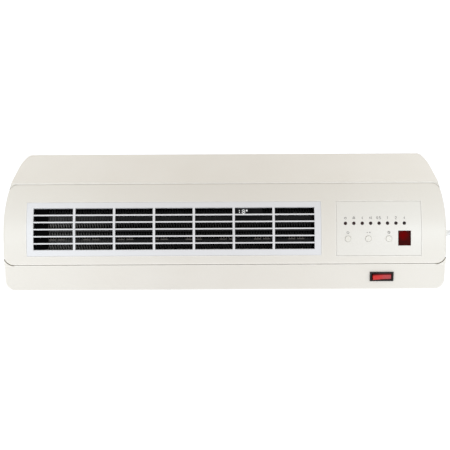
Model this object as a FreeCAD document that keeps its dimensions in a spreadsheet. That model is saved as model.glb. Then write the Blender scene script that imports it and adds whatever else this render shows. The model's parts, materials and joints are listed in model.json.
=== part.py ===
import FreeCAD, Part
import math
import os

import Sketcher
from FreeCAD import Placement, Rotation, Vector

# Wall-hung fan heater: a long curved case with an outlet grille and a control panel in its front
# cover, a ceramic heating element behind the grille and a cross-flow blower behind the element.
# Frame: X to the right along the case, Y from the front to the wall, Z up, millimetres.
# The origin is at the middle of the case's footprint, on the surface that it stands on.

SIZES = {
    # case
    "body_width": 570.0,
    "body_depth": 125.0,
    "peak_height": 162.2,
    "wall": 2.5,
    "fit_gap": 0.4,
    "insert_gap": 0.2,
    "button_gap": 0.2,
    "seam_height": 35.6,
    "seam_gap": 1.0,
    "crease_gap": 0.12,
    "base_setback": 3.5,
    "base_inset": 0.3,
    "base_corner": 14.5,
    "ledge_depth": 22.0,
    "screw_depth": 10.6,
    "screw_inset": 23.0,
    "screw_inner_inset": 200.0,
    "front_radius": 150.0,
    "crease_height": 134.4,
    "cover_corner": 13.0,
    "cover_edge": 3.0,
    "cover_lip_low": 16.0,
    "cover_lip_high": 3.0,
    "lean_start": 82.6,
    "lean_radius": 200.0,
    "shoulder_radius": 16.0,
    "rear_corner": 14.0,
    "deck_nose": 2.0,
    "nose_setback": 0.9,
    "nose_reach": 0.1,
    "deck_rear": 105.0,
    "deck_edge": 6.0,
    "intake_foot": 135.6,
    "foot_edge": 3.0,
    # intake slots in the slope behind the deck
    "intake_inset_left": 12.0,
    "intake_inset_right": 26.0,
    "intake_slot": 6.0,
    "intake_pitch": 12.0,
    "intake_length": 20.0,
    # keyholes in the back
    "keyhole_inset": 105.0,
    "keyhole_height": 95.0,
    "keyhole_entry": 4.6,
    "keyhole_neck": 2.4,
    "keyhole_rise": 9.0,
    # outlet grille
    "grille_margin": 30.4,
    "grille_rise": 12.4,
    "grille_height": 69.7,
    "grille_border": 8.4,
    "grille_sill": 7.9,
    "grille_head": 7.3,
    "grille_depth": 4.2,
    "grille_columns": 7.0,
    "grille_rows": 6.0,
    "column_bar": 3.0,
    "row_bar": 1.7,
    "end_column_extra": 2.75,
    "top_row_extra": 1.0,
    "row_recess": 0.3,
    "bar_depth": 2.4,
    "flange_width": 4.0,
    "flange_depth": 1.5,
    # control panel
    "panel_margin": 32.4,
    "panel_width": 109.0,
    "panel_gap": 19.8,
    "panel_recess": 0.3,
    "panel_drop": 1.2,
    "light_rise": 53.2,
    "light_inset": 11.4,
    "light_pitch": 10.8,
    "light_radius": 2.0,
    "light_count": 8.0,
    "lens_proud": 0.1,
    "button_rise": 33.2,
    "button_inset": 14.5,
    "button_pitch": 26.3,
    "button_radius": 3.7,
    "button_proud": 0.2,
    "button_collar": 1.2,
    "button_travel": 0.6,
    "window_inset": 79.2,
    "window_width": 15.9,
    "window_rise": 24.4,
    "window_height": 18.9,
    "board_reach": 134.0,
    "board_thick": 1.6,
    "board_post": 2.6,
    # rocker switch
    "switch_inset": 82.2,
    "switch_height": 18.0,
    "bezel_width": 30.5,
    "bezel_height": 12.2,
    "bezel_rim": 1.6,
    "bezel_body_width": 27.6,
    "bezel_body_height": 10.8,
    "bezel_body_depth": 22.0,
    "rocker_length": 24.0,
    "rocker_height": 7.6,
    "rocker_tilt": 8.0,
    # heating element
    "element_inset_left": 25.6,
    "element_inset_right": 9.8,
    "element_reach": 121.0,
    "element_depth": 15.0,
    "element_rise": 46.9,
    "tube_height": 5.0,
    "fin_height": 9.4,
    "fin_pitch": 3.4,
    "fin_thick": 0.5,
    "holder_left": 17.0,
    "holder_right": 14.0,
    "holder_margin": 2.7,
    # blower
    "drum_depth": 75.0,
    "drum_height": 80.6,
    "drum_share": 0.24,
    "drum_gap_left": 8.0,
    "drum_gap_right": 10.0,
    "drum_disc": 1.5,
    "drum_sections": 5.0,
    "blade_count": 24.0,
    "blade_chord": 8.0,
    "blade_thick": 0.8,
    "shaft_radius": 3.0,
    "scroll_gap": 5.0,
    "sheet_thick": 1.5,
    "end_plate": 2.0,
    "bush_radius": 7.0,
    "bush_length": 8.0,
    # motor
    "motor_gap": 22.0,
    "stack_length": 22.0,
    "stack_width": 58.0,
    "rotor_radius": 15.4,
    "air_gap": 0.6,
    "motor_bracket": 5.0,
    # supply board
    "supply_inset": 89.0,
    "supply_width": 68.0,
    "supply_bottom": 36.0,
    "supply_height": 76.0,
    "supply_setback": 12.0,
    "post_inset": 6.0,
    # cord
    "cord_diameter": 6.2,
    "cord_exit_height": 60.0,
    "cord_exit_depth": 62.5,
    "relief_length": 23.0,
    "relief_radius": 4.4,
    "coil_step": 7.8,
    "coil_inner": 25.2,
    "coil_turns": 3.0,
    "tie_width": 9.0,
    "tie_thick": 1.2,
    "plug_width": 34.0,
    "plug_length": 30.0,
    "plug_tail": 22.0,
    "plug_lead": 46.0,
    "pin_radius": 2.4,
    "pin_length": 19.0,
    "pin_spacing": 19.0,
}

doc = FreeCAD.newDocument("fan_heater")
sheet = doc.addObject("Spreadsheet::Sheet", "Sizes")
for row, (alias, number) in enumerate(SIZES.items(), 1):
    sheet.set(f"A{row}", alias)
    sheet.set(f"B{row}", str(number))
    sheet.setAlias(f"B{row}", alias)
doc.recompute()


class Size:
    """A sheet expression together with its present value."""

    def __init__(self, text, value):
        self.text = text
        self.value = value

    def join(self, sign, other, value):
        return Size(f"({self.text} {sign} {other.text})", value)

    def __add__(self, other):
        other = size_of(other)
        return self.join("+", other, self.value + other.value)

    def __radd__(self, other):
        return size_of(other) + self

    def __sub__(self, other):
        other = size_of(other)
        return self.join("-", other, self.value - other.value)

    def __rsub__(self, other):
        return size_of(other) - self

    def __mul__(self, other):
        other = size_of(other)
        return self.join("*", other, self.value * other.value)

    def __rmul__(self, other):
        return size_of(other) * self

    def __truediv__(self, other):
        other = size_of(other)
        return self.join("/", other, self.value / other.value)

    def __neg__(self):
        return Size(f"(0 - {self.text})", -self.value)


def size_of(thing):
    if isinstance(thing, Size):
        return thing
    return Size(f"({thing!r})", float(thing))


class Sheet:
    """Reads a cell of the sheet by its alias."""

    def __getattr__(self, alias):
        return Size(f"Sizes.{alias}", float(sheet.get(alias)))


S = Sheet()


def sin_of(angle):
    angle = size_of(angle)
    return Size(f"sin({angle.text})", math.sin(math.radians(angle.value)))


def cos_of(angle):
    angle = size_of(angle)
    return Size(f"cos({angle.text})", math.cos(math.radians(angle.value)))


def tan_of(angle):
    angle = size_of(angle)
    return Size(f"tan({angle.text})", math.tan(math.radians(angle.value)))


def root_of(size):
    return Size(f"sqrt({size.text})", math.sqrt(size.value))


def angle_of(rise, run):
    """Angle in degrees, as a plain number, of a slope."""
    rise, run = size_of(rise), size_of(run)
    degrees = math.degrees(math.atan2(rise.value, run.value))
    return Size(f"(atan2({rise.text}; {run.text}) / 1 deg)", degrees)


X_AXIS = Vector(1, 0, 0)
Y_AXIS = Vector(0, 1, 0)
Z_AXIS = Vector(0, 0, 1)
# Any turn but none keeps the axis until the bound angle takes over
STARTING_TURN = 30
# How far a cutting shape passes the face that it goes through
OVER = 1.0
parts = {}


def name_part(label, thing):
    """Gives a finished piece the label that names its file."""
    thing.Label = label
    parts[label] = thing
    return thing


def bind(thing, **sizes):
    for prop, size in sizes.items():
        thing.setExpression(prop, size_of(size).text)
    return thing


def place(thing, x, y, z, axis=None, angle=0):
    """Binds the place of an object, turned by an angle about an axis."""
    if axis is not None:
        thing.Placement = Placement(Vector(), Rotation(axis, STARTING_TURN))
        thing.setExpression("Placement.Rotation.Angle", size_of(angle).text)
    for letter, size in zip("xyz", (x, y, z)):
        thing.setExpression(f"Placement.Base.{letter}", size_of(size).text)
    return thing


def box(name, x, y, z):
    """Box between two places on each axis, each given as a pair."""
    made = doc.addObject("Part::Box", name)
    bind(made, Length=x[1] - size_of(x[0]), Width=y[1] - size_of(y[0]), Height=z[1] - size_of(z[0]))
    return place(made, x[0], y[0], z[0])


# Axis and angle that turn a round piece from Z to each direction
TURNS = {"X": (Y_AXIS, 90), "-X": (Y_AXIS, -90), "Y": (X_AXIS, -90), "Z": (None, 0)}


def rod(name, along, start, length, radius):
    """Cylinder from a start point along X, Y or Z."""
    made = doc.addObject("Part::Cylinder", name)
    bind(made, Radius=radius, Height=length)
    return place(made, *start, *TURNS[along])


def cone(name, along, start, length, first, last):
    """Tapered round piece from a start point along X or back along it."""
    made = doc.addObject("Part::Cone", name)
    bind(made, Radius1=first, Radius2=last, Height=length)
    return place(made, *start, *TURNS[along])


def fuse(name, *pieces):
    made = doc.addObject("Part::MultiFuse", name)
    made.Shapes = list(pieces)
    made.Refine = True
    return made


def group(name, *pieces):
    """Several separate solids in one object."""
    made = doc.addObject("Part::Compound", name)
    made.Links = list(pieces)
    return made


def cut(name, base, *tools):
    made = doc.addObject("Part::Cut", name)
    made.Base = base
    made.Tool = tools[0] if len(tools) == 1 else group(name + "_tools", *tools)
    made.Refine = True
    return made


def common(name, *pieces):
    made = doc.addObject("Part::MultiCommon", name)
    made.Shapes = list(pieces)
    made.Refine = True
    return made


class Arc:
    """End of a round stretch of an outline: the place, a point it passes near and its radius."""

    def __init__(self, u, v, near_u, near_v, radius):
        self.u, self.v = u, v
        self.near = (near_u.value, near_v.value)
        self.radius = size_of(radius)


def draw_outline(sketch, corners):
    """Draws one closed outline of lines and arcs and binds each corner and radius to the sheet."""
    places = [(c.u, c.v) if isinstance(c, Arc) else c for c in corners]
    places = [(size_of(u), size_of(v)) for u, v in places]
    first = sketch.GeometryCount
    ends = []
    for index, corner in enumerate(corners):
        a, b = places[index - 1], places[index]
        start = Vector(a[0].value, a[1].value, 0)
        end = Vector(b[0].value, b[1].value, 0)
        if isinstance(corner, Arc):
            circle = Part.Circle(start, Vector(*corner.near, 0), end)
            middle = circle.Center
            spans = [math.atan2(p.y - middle.y, p.x - middle.x) for p in (start, end)]
            forward = circle.Axis.z > 0
            spans = spans if forward else spans[::-1]
            if spans[1] < spans[0]:
                spans[1] += 2 * math.pi
            ring = Part.Circle(middle, Z_AXIS, circle.Radius)
            sketch.addGeometry(Part.ArcOfCircle(ring, *spans), False)
            ends.append((1, 2) if forward else (2, 1))
        else:
            sketch.addGeometry(Part.LineSegment(start, end), False)
            ends.append((1, 2))
    count = len(corners)
    for index in range(count):
        following = (index + 1) % count
        joint = Sketcher.Constraint(
            "Coincident", first + index, ends[index][1], first + following, ends[following][0])
        sketch.addConstraint(joint)
    for index, corner in enumerate(corners):
        for kind, size in zip(("DistanceX", "DistanceY"), places[index]):
            rule = Sketcher.Constraint(kind, -1, 1, first + index, ends[index][1], size.value)
            number = sketch.addConstraint(rule)
            sketch.setExpression(f"Constraints[{number}]", size.text)
        if isinstance(corner, Arc):
            rule = Sketcher.Constraint("Radius", first + index, corner.radius.value)
            number = sketch.addConstraint(rule)
            sketch.setExpression(f"Constraints[{number}]", corner.radius.text)


def draw_circle(sketch, u, v, radius):
    u, v, radius = size_of(u), size_of(v), size_of(radius)
    ring = Part.Circle(Vector(u.value, v.value, 0), Z_AXIS, radius.value)
    index = sketch.addGeometry(ring, False)
    rules = (
        (Sketcher.Constraint("DistanceX", -1, 1, index, 3, u.value), u),
        (Sketcher.Constraint("DistanceY", -1, 1, index, 3, v.value), v),
        (Sketcher.Constraint("Radius", index, radius.value), radius),
    )
    for rule, size in rules:
        number = sketch.addConstraint(rule)
        sketch.setExpression(f"Constraints[{number}]", size.text)


def new_sketch(name, role):
    """A body with an empty sketch on one of its origin planes."""
    body = doc.addObject("PartDesign::Body", name)
    plane = [item for item in body.Origin.OriginFeatures if item.Role == role][0]
    sketch = body.newObject("Sketcher::SketchObject", name + "_outline")
    sketch.AttachmentSupport = [(plane, "")]
    sketch.MapMode = "FlatFace"
    return body, sketch


PLANES = {"X": "YZ_Plane", "Y": "XZ_Plane", "Z": "XY_Plane"}


def prism(name, along, corners, span, holes=()):
    """Outline carried straight along X, Y or Z between two places."""
    body, sketch = new_sketch(name, PLANES[along])
    draw_outline(sketch, corners)
    for hole in holes:
        draw_circle(sketch, *hole)
    pad = body.newObject("PartDesign::Pad", name + "_pad")
    pad.Profile = sketch
    bind(pad, Length=span[1] - size_of(span[0]))
    pad.Reversed = along == "Y"
    start = {"X": 0, "Y": 0, "Z": 0}
    start[along] = span[0]
    place(body, start["X"], start["Y"], start["Z"])
    doc.recompute()
    return body


def long_edges(shape, spots):
    """Names of the edges along X that pass through the given places in the side view."""
    found = []
    for index, edge in enumerate(shape.Edges, 1):
        low, high = edge.BoundBox, edge.CenterOfMass
        if low.XLength < 1.0 or low.YLength + low.ZLength > 0.01:
            continue
        if any(abs(high.y - y.value) + abs(high.z - z.value) < 0.05 for y, z in spots):
            found.append(f"Edge{index}")
    return found


def round_edges(body, spots, radius):
    """Rounds the edges of a body that run along X through the given side-view places."""
    doc.recompute()
    base = body.Tip
    fillet = body.newObject("PartDesign::Fillet", body.Name + "_round")
    fillet.Base = (base, long_edges(base.Shape, spots))
    bind(fillet, Radius=radius)
    doc.recompute()
    return fillet


def around(middle, width, room=0):
    """Two places at half a width from a middle, widened by some room."""
    half = size_of(width) / 2 + room
    return middle - half, middle + half


# Places that several pieces share
front = -S.body_depth / 2
back = S.body_depth / 2
half_width = S.body_width / 2
housing_half = half_width - S.base_inset
base_top = S.seam_height - S.seam_gap
base_front = front + S.base_setback
arc_y = front + S.front_radius
arc_z = S.seam_height
crease_rise = S.crease_height - S.seam_height
crease_y = arc_y - root_of(S.front_radius * S.front_radius - crease_rise * crease_rise)
DEGREES = 180 / math.pi
# Places along the case: the grille fills what the margins and the panel leave, the duct lies behind it
panel_right = half_width - S.panel_margin
panel_left = panel_right - S.panel_width
grille_left = S.grille_margin - half_width
grille_right = panel_left - S.panel_gap
element_left = grille_left + S.element_inset_left
element_right = grille_right - S.element_inset_right
duct_left = element_left - S.holder_left
duct_right = element_right + S.holder_right
drum_left = duct_left + S.drum_gap_left
drum_right = duct_right - S.drum_gap_right
motor_left = duct_right + S.motor_gap
supply_left = half_width - S.supply_inset
switch_middle = half_width - S.switch_inset


def arc_angle(length):
    """Angle on the front arc, in degrees, of a length measured up from the seam."""
    return length / S.front_radius * DEGREES


def front_place(theta, up, out):
    """Side-view place at a reach out from the arc's centre and a distance up along the tangent."""
    y = arc_y - out * cos_of(theta) + up * sin_of(theta)
    z = arc_z + out * sin_of(theta) + up * cos_of(theta)
    return y, z


def front_box(name, theta, x, up, out):
    """Box that lies square to the front arc at an angle."""
    made = doc.addObject("Part::Box", name)
    bind(made, Length=x[1] - size_of(x[0]), Width=up[1] - size_of(up[0]), Height=out[1] - size_of(out[0]))
    y, z = front_place(theta, size_of(up[0]), size_of(out[0]))
    return place(made, x[0], y, z, X_AXIS, 90 - theta)


def front_rod(name, theta, x, out, radius, up=0):
    """Round piece that points straight out of the front arc at an angle."""
    made = doc.addObject("Part::Cylinder", name)
    bind(made, Radius=radius, Height=out[1] - size_of(out[0]))
    y, z = front_place(theta, size_of(up), size_of(out[0]))
    return place(made, x, y, z, X_AXIS, 90 - theta)


def front_band(name, x, rise, out):
    """Piece of the front arc's shell: a rectangle turned about the arc's axis."""
    body, sketch = new_sketch(name, "XY_Plane")
    left, right = size_of(x[0]), size_of(x[1])
    low, high = size_of(out[0]), size_of(out[1])
    draw_outline(sketch, [(left, low), (right, low), (right, high), (left, high)])
    turn = body.newObject("PartDesign::Revolution", name + "_turn")
    turn.Profile = sketch
    turn.ReferenceAxis = (sketch, ["H_Axis"])
    top = arc_angle(size_of(rise[1]))
    bind(turn, Angle=top - arc_angle(size_of(rise[0])))
    return place(body, 0, arc_y, arc_z, X_AXIS, 180 - top)


# Share of a corner's radius at which its round is guided past the corner
ARC_NEAR = 0.3


def end_outline(half, bottom, top, low_radius, high_radius, lean):
    """Front-view outline of the case: upright ends that lean in above a height, round corners."""
    slope = (top - high_radius - S.lean_start) / (lean - high_radius)
    level = root_of(1 - slope * slope)
    middle = half - lean
    shoulder_x = middle + lean * level
    shoulder_z = S.lean_start + lean * slope
    crown = middle + (lean - high_radius) * level
    lean_x = (half + shoulder_x) / 2 + ARC_NEAR * (half - shoulder_x)
    lean_z = (S.lean_start + shoulder_z) / 2
    crown_x = crown + high_radius * (1 - ARC_NEAR)
    crown_z = top - high_radius * ARC_NEAR
    foot_x = half - low_radius * ARC_NEAR
    foot_z = bottom + low_radius * ARC_NEAR
    return [
        (-crown, top),
        Arc(-shoulder_x, shoulder_z, -crown_x, crown_z, high_radius),
        Arc(-half, S.lean_start, -lean_x, lean_z, lean),
        (-half, bottom + low_radius),
        Arc(-half + low_radius, bottom, -foot_x, foot_z, low_radius),
        (half - low_radius, bottom),
        Arc(half, bottom + low_radius, foot_x, foot_z, low_radius),
        (half, S.lean_start),
        Arc(shoulder_x, shoulder_z, lean_x, lean_z, lean),
        Arc(crown, top, crown_x, crown_z, high_radius),
    ]


def check_and_write():
    """Stops on any failed object and writes one file for each piece."""
    doc.recompute()
    for thing in doc.Objects:
        if "Invalid" in thing.State or "Error" in thing.State:
            raise RuntimeError(f"{thing.Label} failed: {thing.State}")
    for label, thing in parts.items():
        if thing.Shape.isNull() or not thing.Shape.isValid():
            raise RuntimeError(f"{label} has no valid shape")
    os.makedirs("parts", exist_ok=True)
    for label, thing in parts.items():
        thing.Shape.exportStep(f"parts/{label}.step")
        solids = len(thing.Shape.Solids)
        print(f"{label}: {solids} solid(s), {thing.Shape.Volume / 1000:.2f} cm3")


# Rear housing: base band, ends, deck, intake slope and back in one moulding
deck_start = (crease_y + S.nose_setback, S.crease_height + S.crease_gap + S.deck_nose)
deck_peak = (front + S.deck_rear, S.peak_height)
deck_angle = angle_of(deck_peak[1] - deck_start[1], deck_peak[0] - deck_start[0])
slope_angle = angle_of(S.peak_height - S.intake_foot, back - deck_peak[0])
half_turn = (deck_angle + slope_angle) / 2
ridge_lean = (slope_angle - deck_angle) / 2
# Top of the rounded ridge, with a little room over it for the outline of the ends
RIDGE_ROOM = 0.2
ridge_top = S.peak_height + S.deck_edge * (1 - cos_of(ridge_lean) / cos_of(half_turn)) + RIDGE_ROOM
parting_low = (front + S.cover_lip_low, base_top)
parting_high = (crease_y + S.cover_lip_high, S.crease_height + S.crease_gap)
nose_low = (crease_y - S.nose_reach, S.crease_height + S.crease_gap)


def housing_block(name, inset):
    """The housing's envelope, drawn in by an inset on every closed side."""
    if inset is None:
        profile = [
            (base_front, 0), (base_front, base_top), parting_low, parting_high, nose_low,
            deck_start, deck_peak, (back, S.intake_foot), (back, 0)]
        grow = size_of(0)
    else:
        grow = inset
        deck_drop = grow / cos_of(deck_angle)
        reach = grow / cos_of(half_turn)
        run = (parting_high[0] - deck_start[0]) * tan_of(deck_angle)
        profile = [
            (base_front + grow, grow), (base_front + grow, base_top - grow),
            (front + S.ledge_depth, base_top - grow), (front + S.ledge_depth, base_top),
            (front - S.wall, base_top), (front - S.wall, parting_high[1]), parting_high,
            (parting_high[0], deck_start[1] + run - deck_drop),
            (deck_peak[0] - reach * sin_of(ridge_lean), deck_peak[1] - reach * cos_of(ridge_lean)),
            (back - grow, S.intake_foot - grow * tan_of((90 - slope_angle) / 2)),
            (back - grow, grow)]
    side = prism(name + "_side", "X", profile, (-half_width, half_width))
    if inset is None:
        round_edges(side, [deck_peak], S.deck_edge)
        round_edges(side, [(back, S.intake_foot), (back, size_of(0))], S.foot_edge)
        round_edges(side, [(base_front, size_of(0))], S.foot_edge)
        round_edges(side, [deck_start], S.deck_nose / 2)
    ends = end_outline(housing_half - grow, grow, ridge_top - grow, S.base_corner - grow,
                       S.shoulder_radius - grow, S.lean_radius - grow)
    face = prism(name + "_face", "Y", ends, (front - S.ledge_depth, back + S.wall))
    corner = S.rear_corner - grow
    right = housing_half - grow
    rear = back - grow
    bend = corner * ARC_NEAR
    plan = prism(name + "_plan", "Z", [
        (-right, front - S.ledge_depth), (right, front - S.ledge_depth), (right, rear - corner),
        Arc(right - corner, rear, right - bend, rear - bend, corner),
        (-right + corner, rear),
        Arc(-right, rear - corner, -right + bend, rear - bend, corner),
    ], (-S.wall, S.peak_height + S.wall))
    return common(name, side, face, plan)


housing_outer = housing_block("housing_outer", None)
housing_inner = housing_block("housing_inner", S.wall)
housing_shell = cut("housing_shell", housing_outer, housing_inner)

# Front cover: a shell of the front arc with a short lip all round
cover_back_low = (front + S.cover_lip_low - S.fit_gap, S.seam_height)
cover_back_high = (crease_y + S.cover_lip_high - S.fit_gap, S.crease_height)


def arc_spot(radius, height):
    """Side-view place on a circle about the front arc's axis at a height."""
    rise = height - arc_z
    return arc_y - root_of(radius * radius - rise * rise)


def cover_block(name, inset):
    """The cover's envelope, drawn in by an inset on all sides but the open back."""
    grow = size_of(0) if inset is None else inset
    radius = S.front_radius - grow
    low, high = S.seam_height + grow, S.crease_height - grow
    middle = (low + high) / 2
    start = (arc_spot(radius, low), low)
    bow = Arc(arc_spot(radius, high), high, arc_spot(radius, middle), middle, radius)
    if inset is None:
        rest = [cover_back_high, cover_back_low]
    else:
        rear = crease_y + S.ledge_depth
        rest = [(rear, high), (rear, low)]
    side = prism(name + "_side", "X", [start, bow] + rest, (-half_width - S.wall, half_width + S.wall))
    ends = end_outline(half_width - grow, low, high, S.cover_corner - grow,
                       S.cover_corner - grow, S.lean_radius - grow)
    face = prism(name + "_face", "Y", ends, (front - S.ledge_depth, back))
    return common(name, side, face)


cover_sharp = cover_block("cover_sharp", None)
doc.recompute()
round_faces = [face for face in cover_sharp.Shape.Faces if face.Surface.TypeId == "Part::GeomCylinder"]
bowed = max(round_faces, key=lambda face: face.Area)
cover_outer = doc.addObject("Part::Fillet", "cover_outer")
cover_outer.Base = cover_sharp
cover_outer.Edges = [
    (index, S.cover_edge.value, S.cover_edge.value)
    for index, edge in enumerate(cover_sharp.Shape.Edges, 1)
    if any(edge.isSame(own) for own in bowed.Edges)]
cover_inner = cover_block("cover_inner", S.wall)
cover_shell = cut("cover_shell", cover_outer, cover_inner)

# Corner ears: the housing comes forward round the cover's four round corners
ear_radius = S.front_radius - S.seam_gap
ear_middle = (base_top + parting_high[1]) / 2
ear_side = prism("ear_side", "X", [
    (arc_spot(ear_radius, base_top), base_top),
    Arc(arc_spot(ear_radius, parting_high[1]), parting_high[1],
        arc_spot(ear_radius, ear_middle), ear_middle, ear_radius),
    (parting_high[0] + S.wall, parting_high[1]),
    (parting_low[0] + S.wall, base_top),
], (-half_width, half_width))
ear_face = prism("ear_face", "Y", end_outline(
    housing_half, size_of(0), ridge_top, S.base_corner,
    S.shoulder_radius, S.lean_radius), (front - S.ledge_depth, back))
cover_hole = prism("cover_hole", "Y", end_outline(
    half_width + S.fit_gap, base_top, parting_high[1], S.cover_corner + S.fit_gap,
    S.cover_corner + S.fit_gap, S.lean_radius + S.fit_gap), (front - S.ledge_depth, back))
ears = cut("ears", common("ear_block", ear_side, ear_face), cover_hole)

# Intake slots, keyholes, switch cut-out, cord hole and screw access in the housing
slope_middle = ((deck_peak[0] + back) / 2, (S.peak_height + S.intake_foot) / 2)
intake_left = duct_left + S.intake_inset_left
intake_right = duct_right - S.intake_inset_right
slot_count = int((intake_right - intake_left).value / S.intake_pitch.value)
slots = []
for number in range(slot_count):
    slot = doc.addObject("Part::Box", f"intake_slot_{number}")
    bind(slot, Length=S.intake_slot, Width=S.intake_length, Height=4 * S.wall)
    left = intake_left + S.intake_pitch * (number + 0.5) - S.intake_slot / 2
    place(slot, left,
          slope_middle[0] - S.intake_length / 2 * cos_of(slope_angle) - 2 * S.wall * sin_of(slope_angle),
          slope_middle[1] + S.intake_length / 2 * sin_of(slope_angle) - 2 * S.wall * cos_of(slope_angle),
          X_AXIS, -slope_angle)
    slots.append(slot)

keyholes = []
for side, name in ((-1, "left"), (1, "right")):
    middle = (half_width - S.keyhole_inset) * side
    depth = (back - 2 * S.wall, back + S.wall)
    keyholes.append(rod(f"keyhole_entry_{name}", "Y", (middle, depth[0], S.keyhole_height),
                        3 * S.wall, S.keyhole_entry))
    keyholes.append(box(f"keyhole_neck_{name}", (middle - S.keyhole_neck, middle + S.keyhole_neck),
                        depth, (S.keyhole_height, S.keyhole_height + S.keyhole_rise)))
    keyholes.append(rod(f"keyhole_end_{name}", "Y",
                        (middle, depth[0], S.keyhole_height + S.keyhole_rise), 3 * S.wall, S.keyhole_neck))


switch_hole = box("switch_hole", around(switch_middle, S.bezel_body_width, S.fit_gap),
                  (front - S.wall, base_front + 2 * S.wall),
                  around(S.switch_height, S.bezel_body_height, S.fit_gap))
cord_y = front + S.cord_exit_depth
cord_hole = rod("cord_hole", "X", (housing_half - 4 * S.wall, cord_y, S.cord_exit_height), 6 * S.wall,
                S.relief_radius)

screw_outer = half_width - S.screw_inset
screw_inner = half_width - S.screw_inner_inset
screw_spots = (-screw_outer, -screw_inner, screw_inner, screw_outer)
SCREW_RADIUS = 1.8
SCREW_HEAD = 3.4
SCREW_HEAD_HEIGHT = 2.4
SCREW_LENGTH = 12.0
ACCESS_ROOM = 0.6
screw_y = front + S.screw_depth
access = []
screw_holes = []
for number, spot in enumerate(screw_spots):
    access.append(rod(f"screw_access_{number}", "Z", (spot, screw_y, -S.wall), 3 * S.wall,
                      SCREW_HEAD + ACCESS_ROOM))
    screw_holes.append(rod(f"screw_hole_{number}", "Z", (spot, screw_y, base_top - 2 * S.wall), 4 * S.wall,
                           SCREW_RADIUS + S.fit_gap))

# Posts in the housing that carry the supply board
supply_back = back - S.supply_setback
posts = []
post_xs = (supply_left + S.post_inset, supply_left + S.supply_width - S.post_inset)
post_zs = (S.supply_bottom + S.post_inset, S.supply_bottom + S.supply_height - S.post_inset)
post_spots = [(x, z) for x in post_xs for z in post_zs]
for number, (x, z) in enumerate(post_spots):
    posts.append(rod(f"supply_post_{number}", "Y", (x, supply_back, z), back - S.wall / 2 - supply_back,
                     S.board_post))

POST_SCREW = 1.1
POST_SCREW_LENGTH = 7.0
post_bores = [
    rod(f"supply_bore_{number}", "Y", (x, supply_back - OVER, z), POST_SCREW_LENGTH + OVER, POST_SCREW)
    for number, (x, z) in enumerate(post_spots)]
housing_body = fuse("housing_body", housing_shell, ears, *posts)
rear_housing = cut("rear_housing_cut", housing_body, *slots, *keyholes, switch_hole, cord_hole,
                   *access, *screw_holes, *post_bores)
name_part("rear_housing", rear_housing)

# Openings in the cover for the grille and the panel, and bosses for its screws
grille_top = S.grille_rise + S.grille_height
panel_low = S.grille_rise - S.panel_drop
shell_reach = (S.front_radius - 3 * S.wall, S.front_radius + 2 * S.wall)


def cover_opening(name, left, right, low):
    return front_band(name, (left - S.insert_gap, right + S.insert_gap),
                      (low - S.insert_gap, grille_top + S.insert_gap), shell_reach)


bosses = []
boss_holes = []
for number, spot in enumerate(screw_spots):
    foot = (spot, screw_y, S.seam_height + S.wall / 2)
    bosses.append(rod(f"cover_boss_{number}", "Z", foot, SCREW_LENGTH, SCREW_RADIUS + S.wall))
    hole = (spot, screw_y, S.seam_height - S.wall)
    boss_holes.append(rod(f"cover_boss_hole_{number}", "Z", hole, SCREW_LENGTH + S.wall, SCREW_RADIUS))
cover_body = fuse("cover_body", cover_shell, *bosses)
cover_pierced = cut("cover_pierced", cover_body,
                    cover_opening("grille_opening", grille_left, grille_right, S.grille_rise),
                    cover_opening("panel_opening", panel_left, panel_right, panel_low), *boss_holes)

screws = []
for number, spot in enumerate(screw_spots):
    head = rod(f"screw_head_{number}", "Z", (spot, screw_y, base_top - S.wall - SCREW_HEAD_HEIGHT),
               SCREW_HEAD_HEIGHT, SCREW_HEAD)
    shank = rod(f"screw_shank_{number}", "Z", (spot, screw_y, base_top - S.wall), SCREW_LENGTH, SCREW_RADIUS)
    screws.append(fuse(f"cover_screw_{number}", head, shank))
name_part("cover_screws", group("cover_screws_group", *screws))


def insert_plate(name, left, right, low, depth, reach):
    """Curved plate in a cover opening with a flange behind the cover's wall."""
    plate = front_band(name + "_plate", (left, right), (low, grille_top), (reach - depth, reach))
    flange_reach = S.front_radius - S.wall - S.fit_gap / 2
    rim = S.flange_width
    flange = front_band(name + "_flange", (left - rim, right + rim), (low - rim, grille_top + rim),
                        (flange_reach - S.flange_depth, flange_reach))
    return fuse(name, plate, flange)


# Outlet grille: one moulding with a border, upright bars and level bars
window_x = (grille_left + S.grille_border, grille_right - S.grille_border)
window_rise = (S.grille_rise + S.grille_sill, grille_top - S.grille_head)
grille_blank = insert_plate("grille_blank", grille_left, grille_right, S.grille_rise, S.grille_depth,
                            S.front_radius)
grille_window = front_band("grille_window", window_x, window_rise, shell_reach)
grille_frame = cut("grille_frame", grille_blank, grille_window)
# The end columns are wider than the rest, and the top row, where the display shows, is higher
column_room = window_x[1] - window_x[0] - 2 * S.end_column_extra
column_pitch = (column_room + S.column_bar) / S.grille_columns
column_start = window_x[0] + S.end_column_extra
row_pitch = (window_rise[1] - window_rise[0] - S.top_row_extra + S.row_bar) / S.grille_rows
bars = []
bar_reach = (S.front_radius - S.bar_depth, S.front_radius)
overlap = S.grille_border / 4
for number in range(1, int(S.grille_columns.value)):
    left = column_start + column_pitch * number - S.column_bar
    bars.append(front_band(f"column_bar_{number}", (left, left + S.column_bar),
                           (window_rise[0] - overlap, window_rise[1] + overlap), bar_reach))
row_reach = (S.front_radius - S.bar_depth, S.front_radius - S.row_recess)
for number in range(1, int(S.grille_rows.value)):
    low = window_rise[0] + row_pitch * number - S.row_bar
    bars.append(front_band(f"row_bar_{number}", (window_x[0] - overlap, window_x[1] + overlap),
                           (low, low + S.row_bar), row_reach))
name_part("outlet_grille", fuse("outlet_grille_fuse", grille_frame, *bars))

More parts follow.
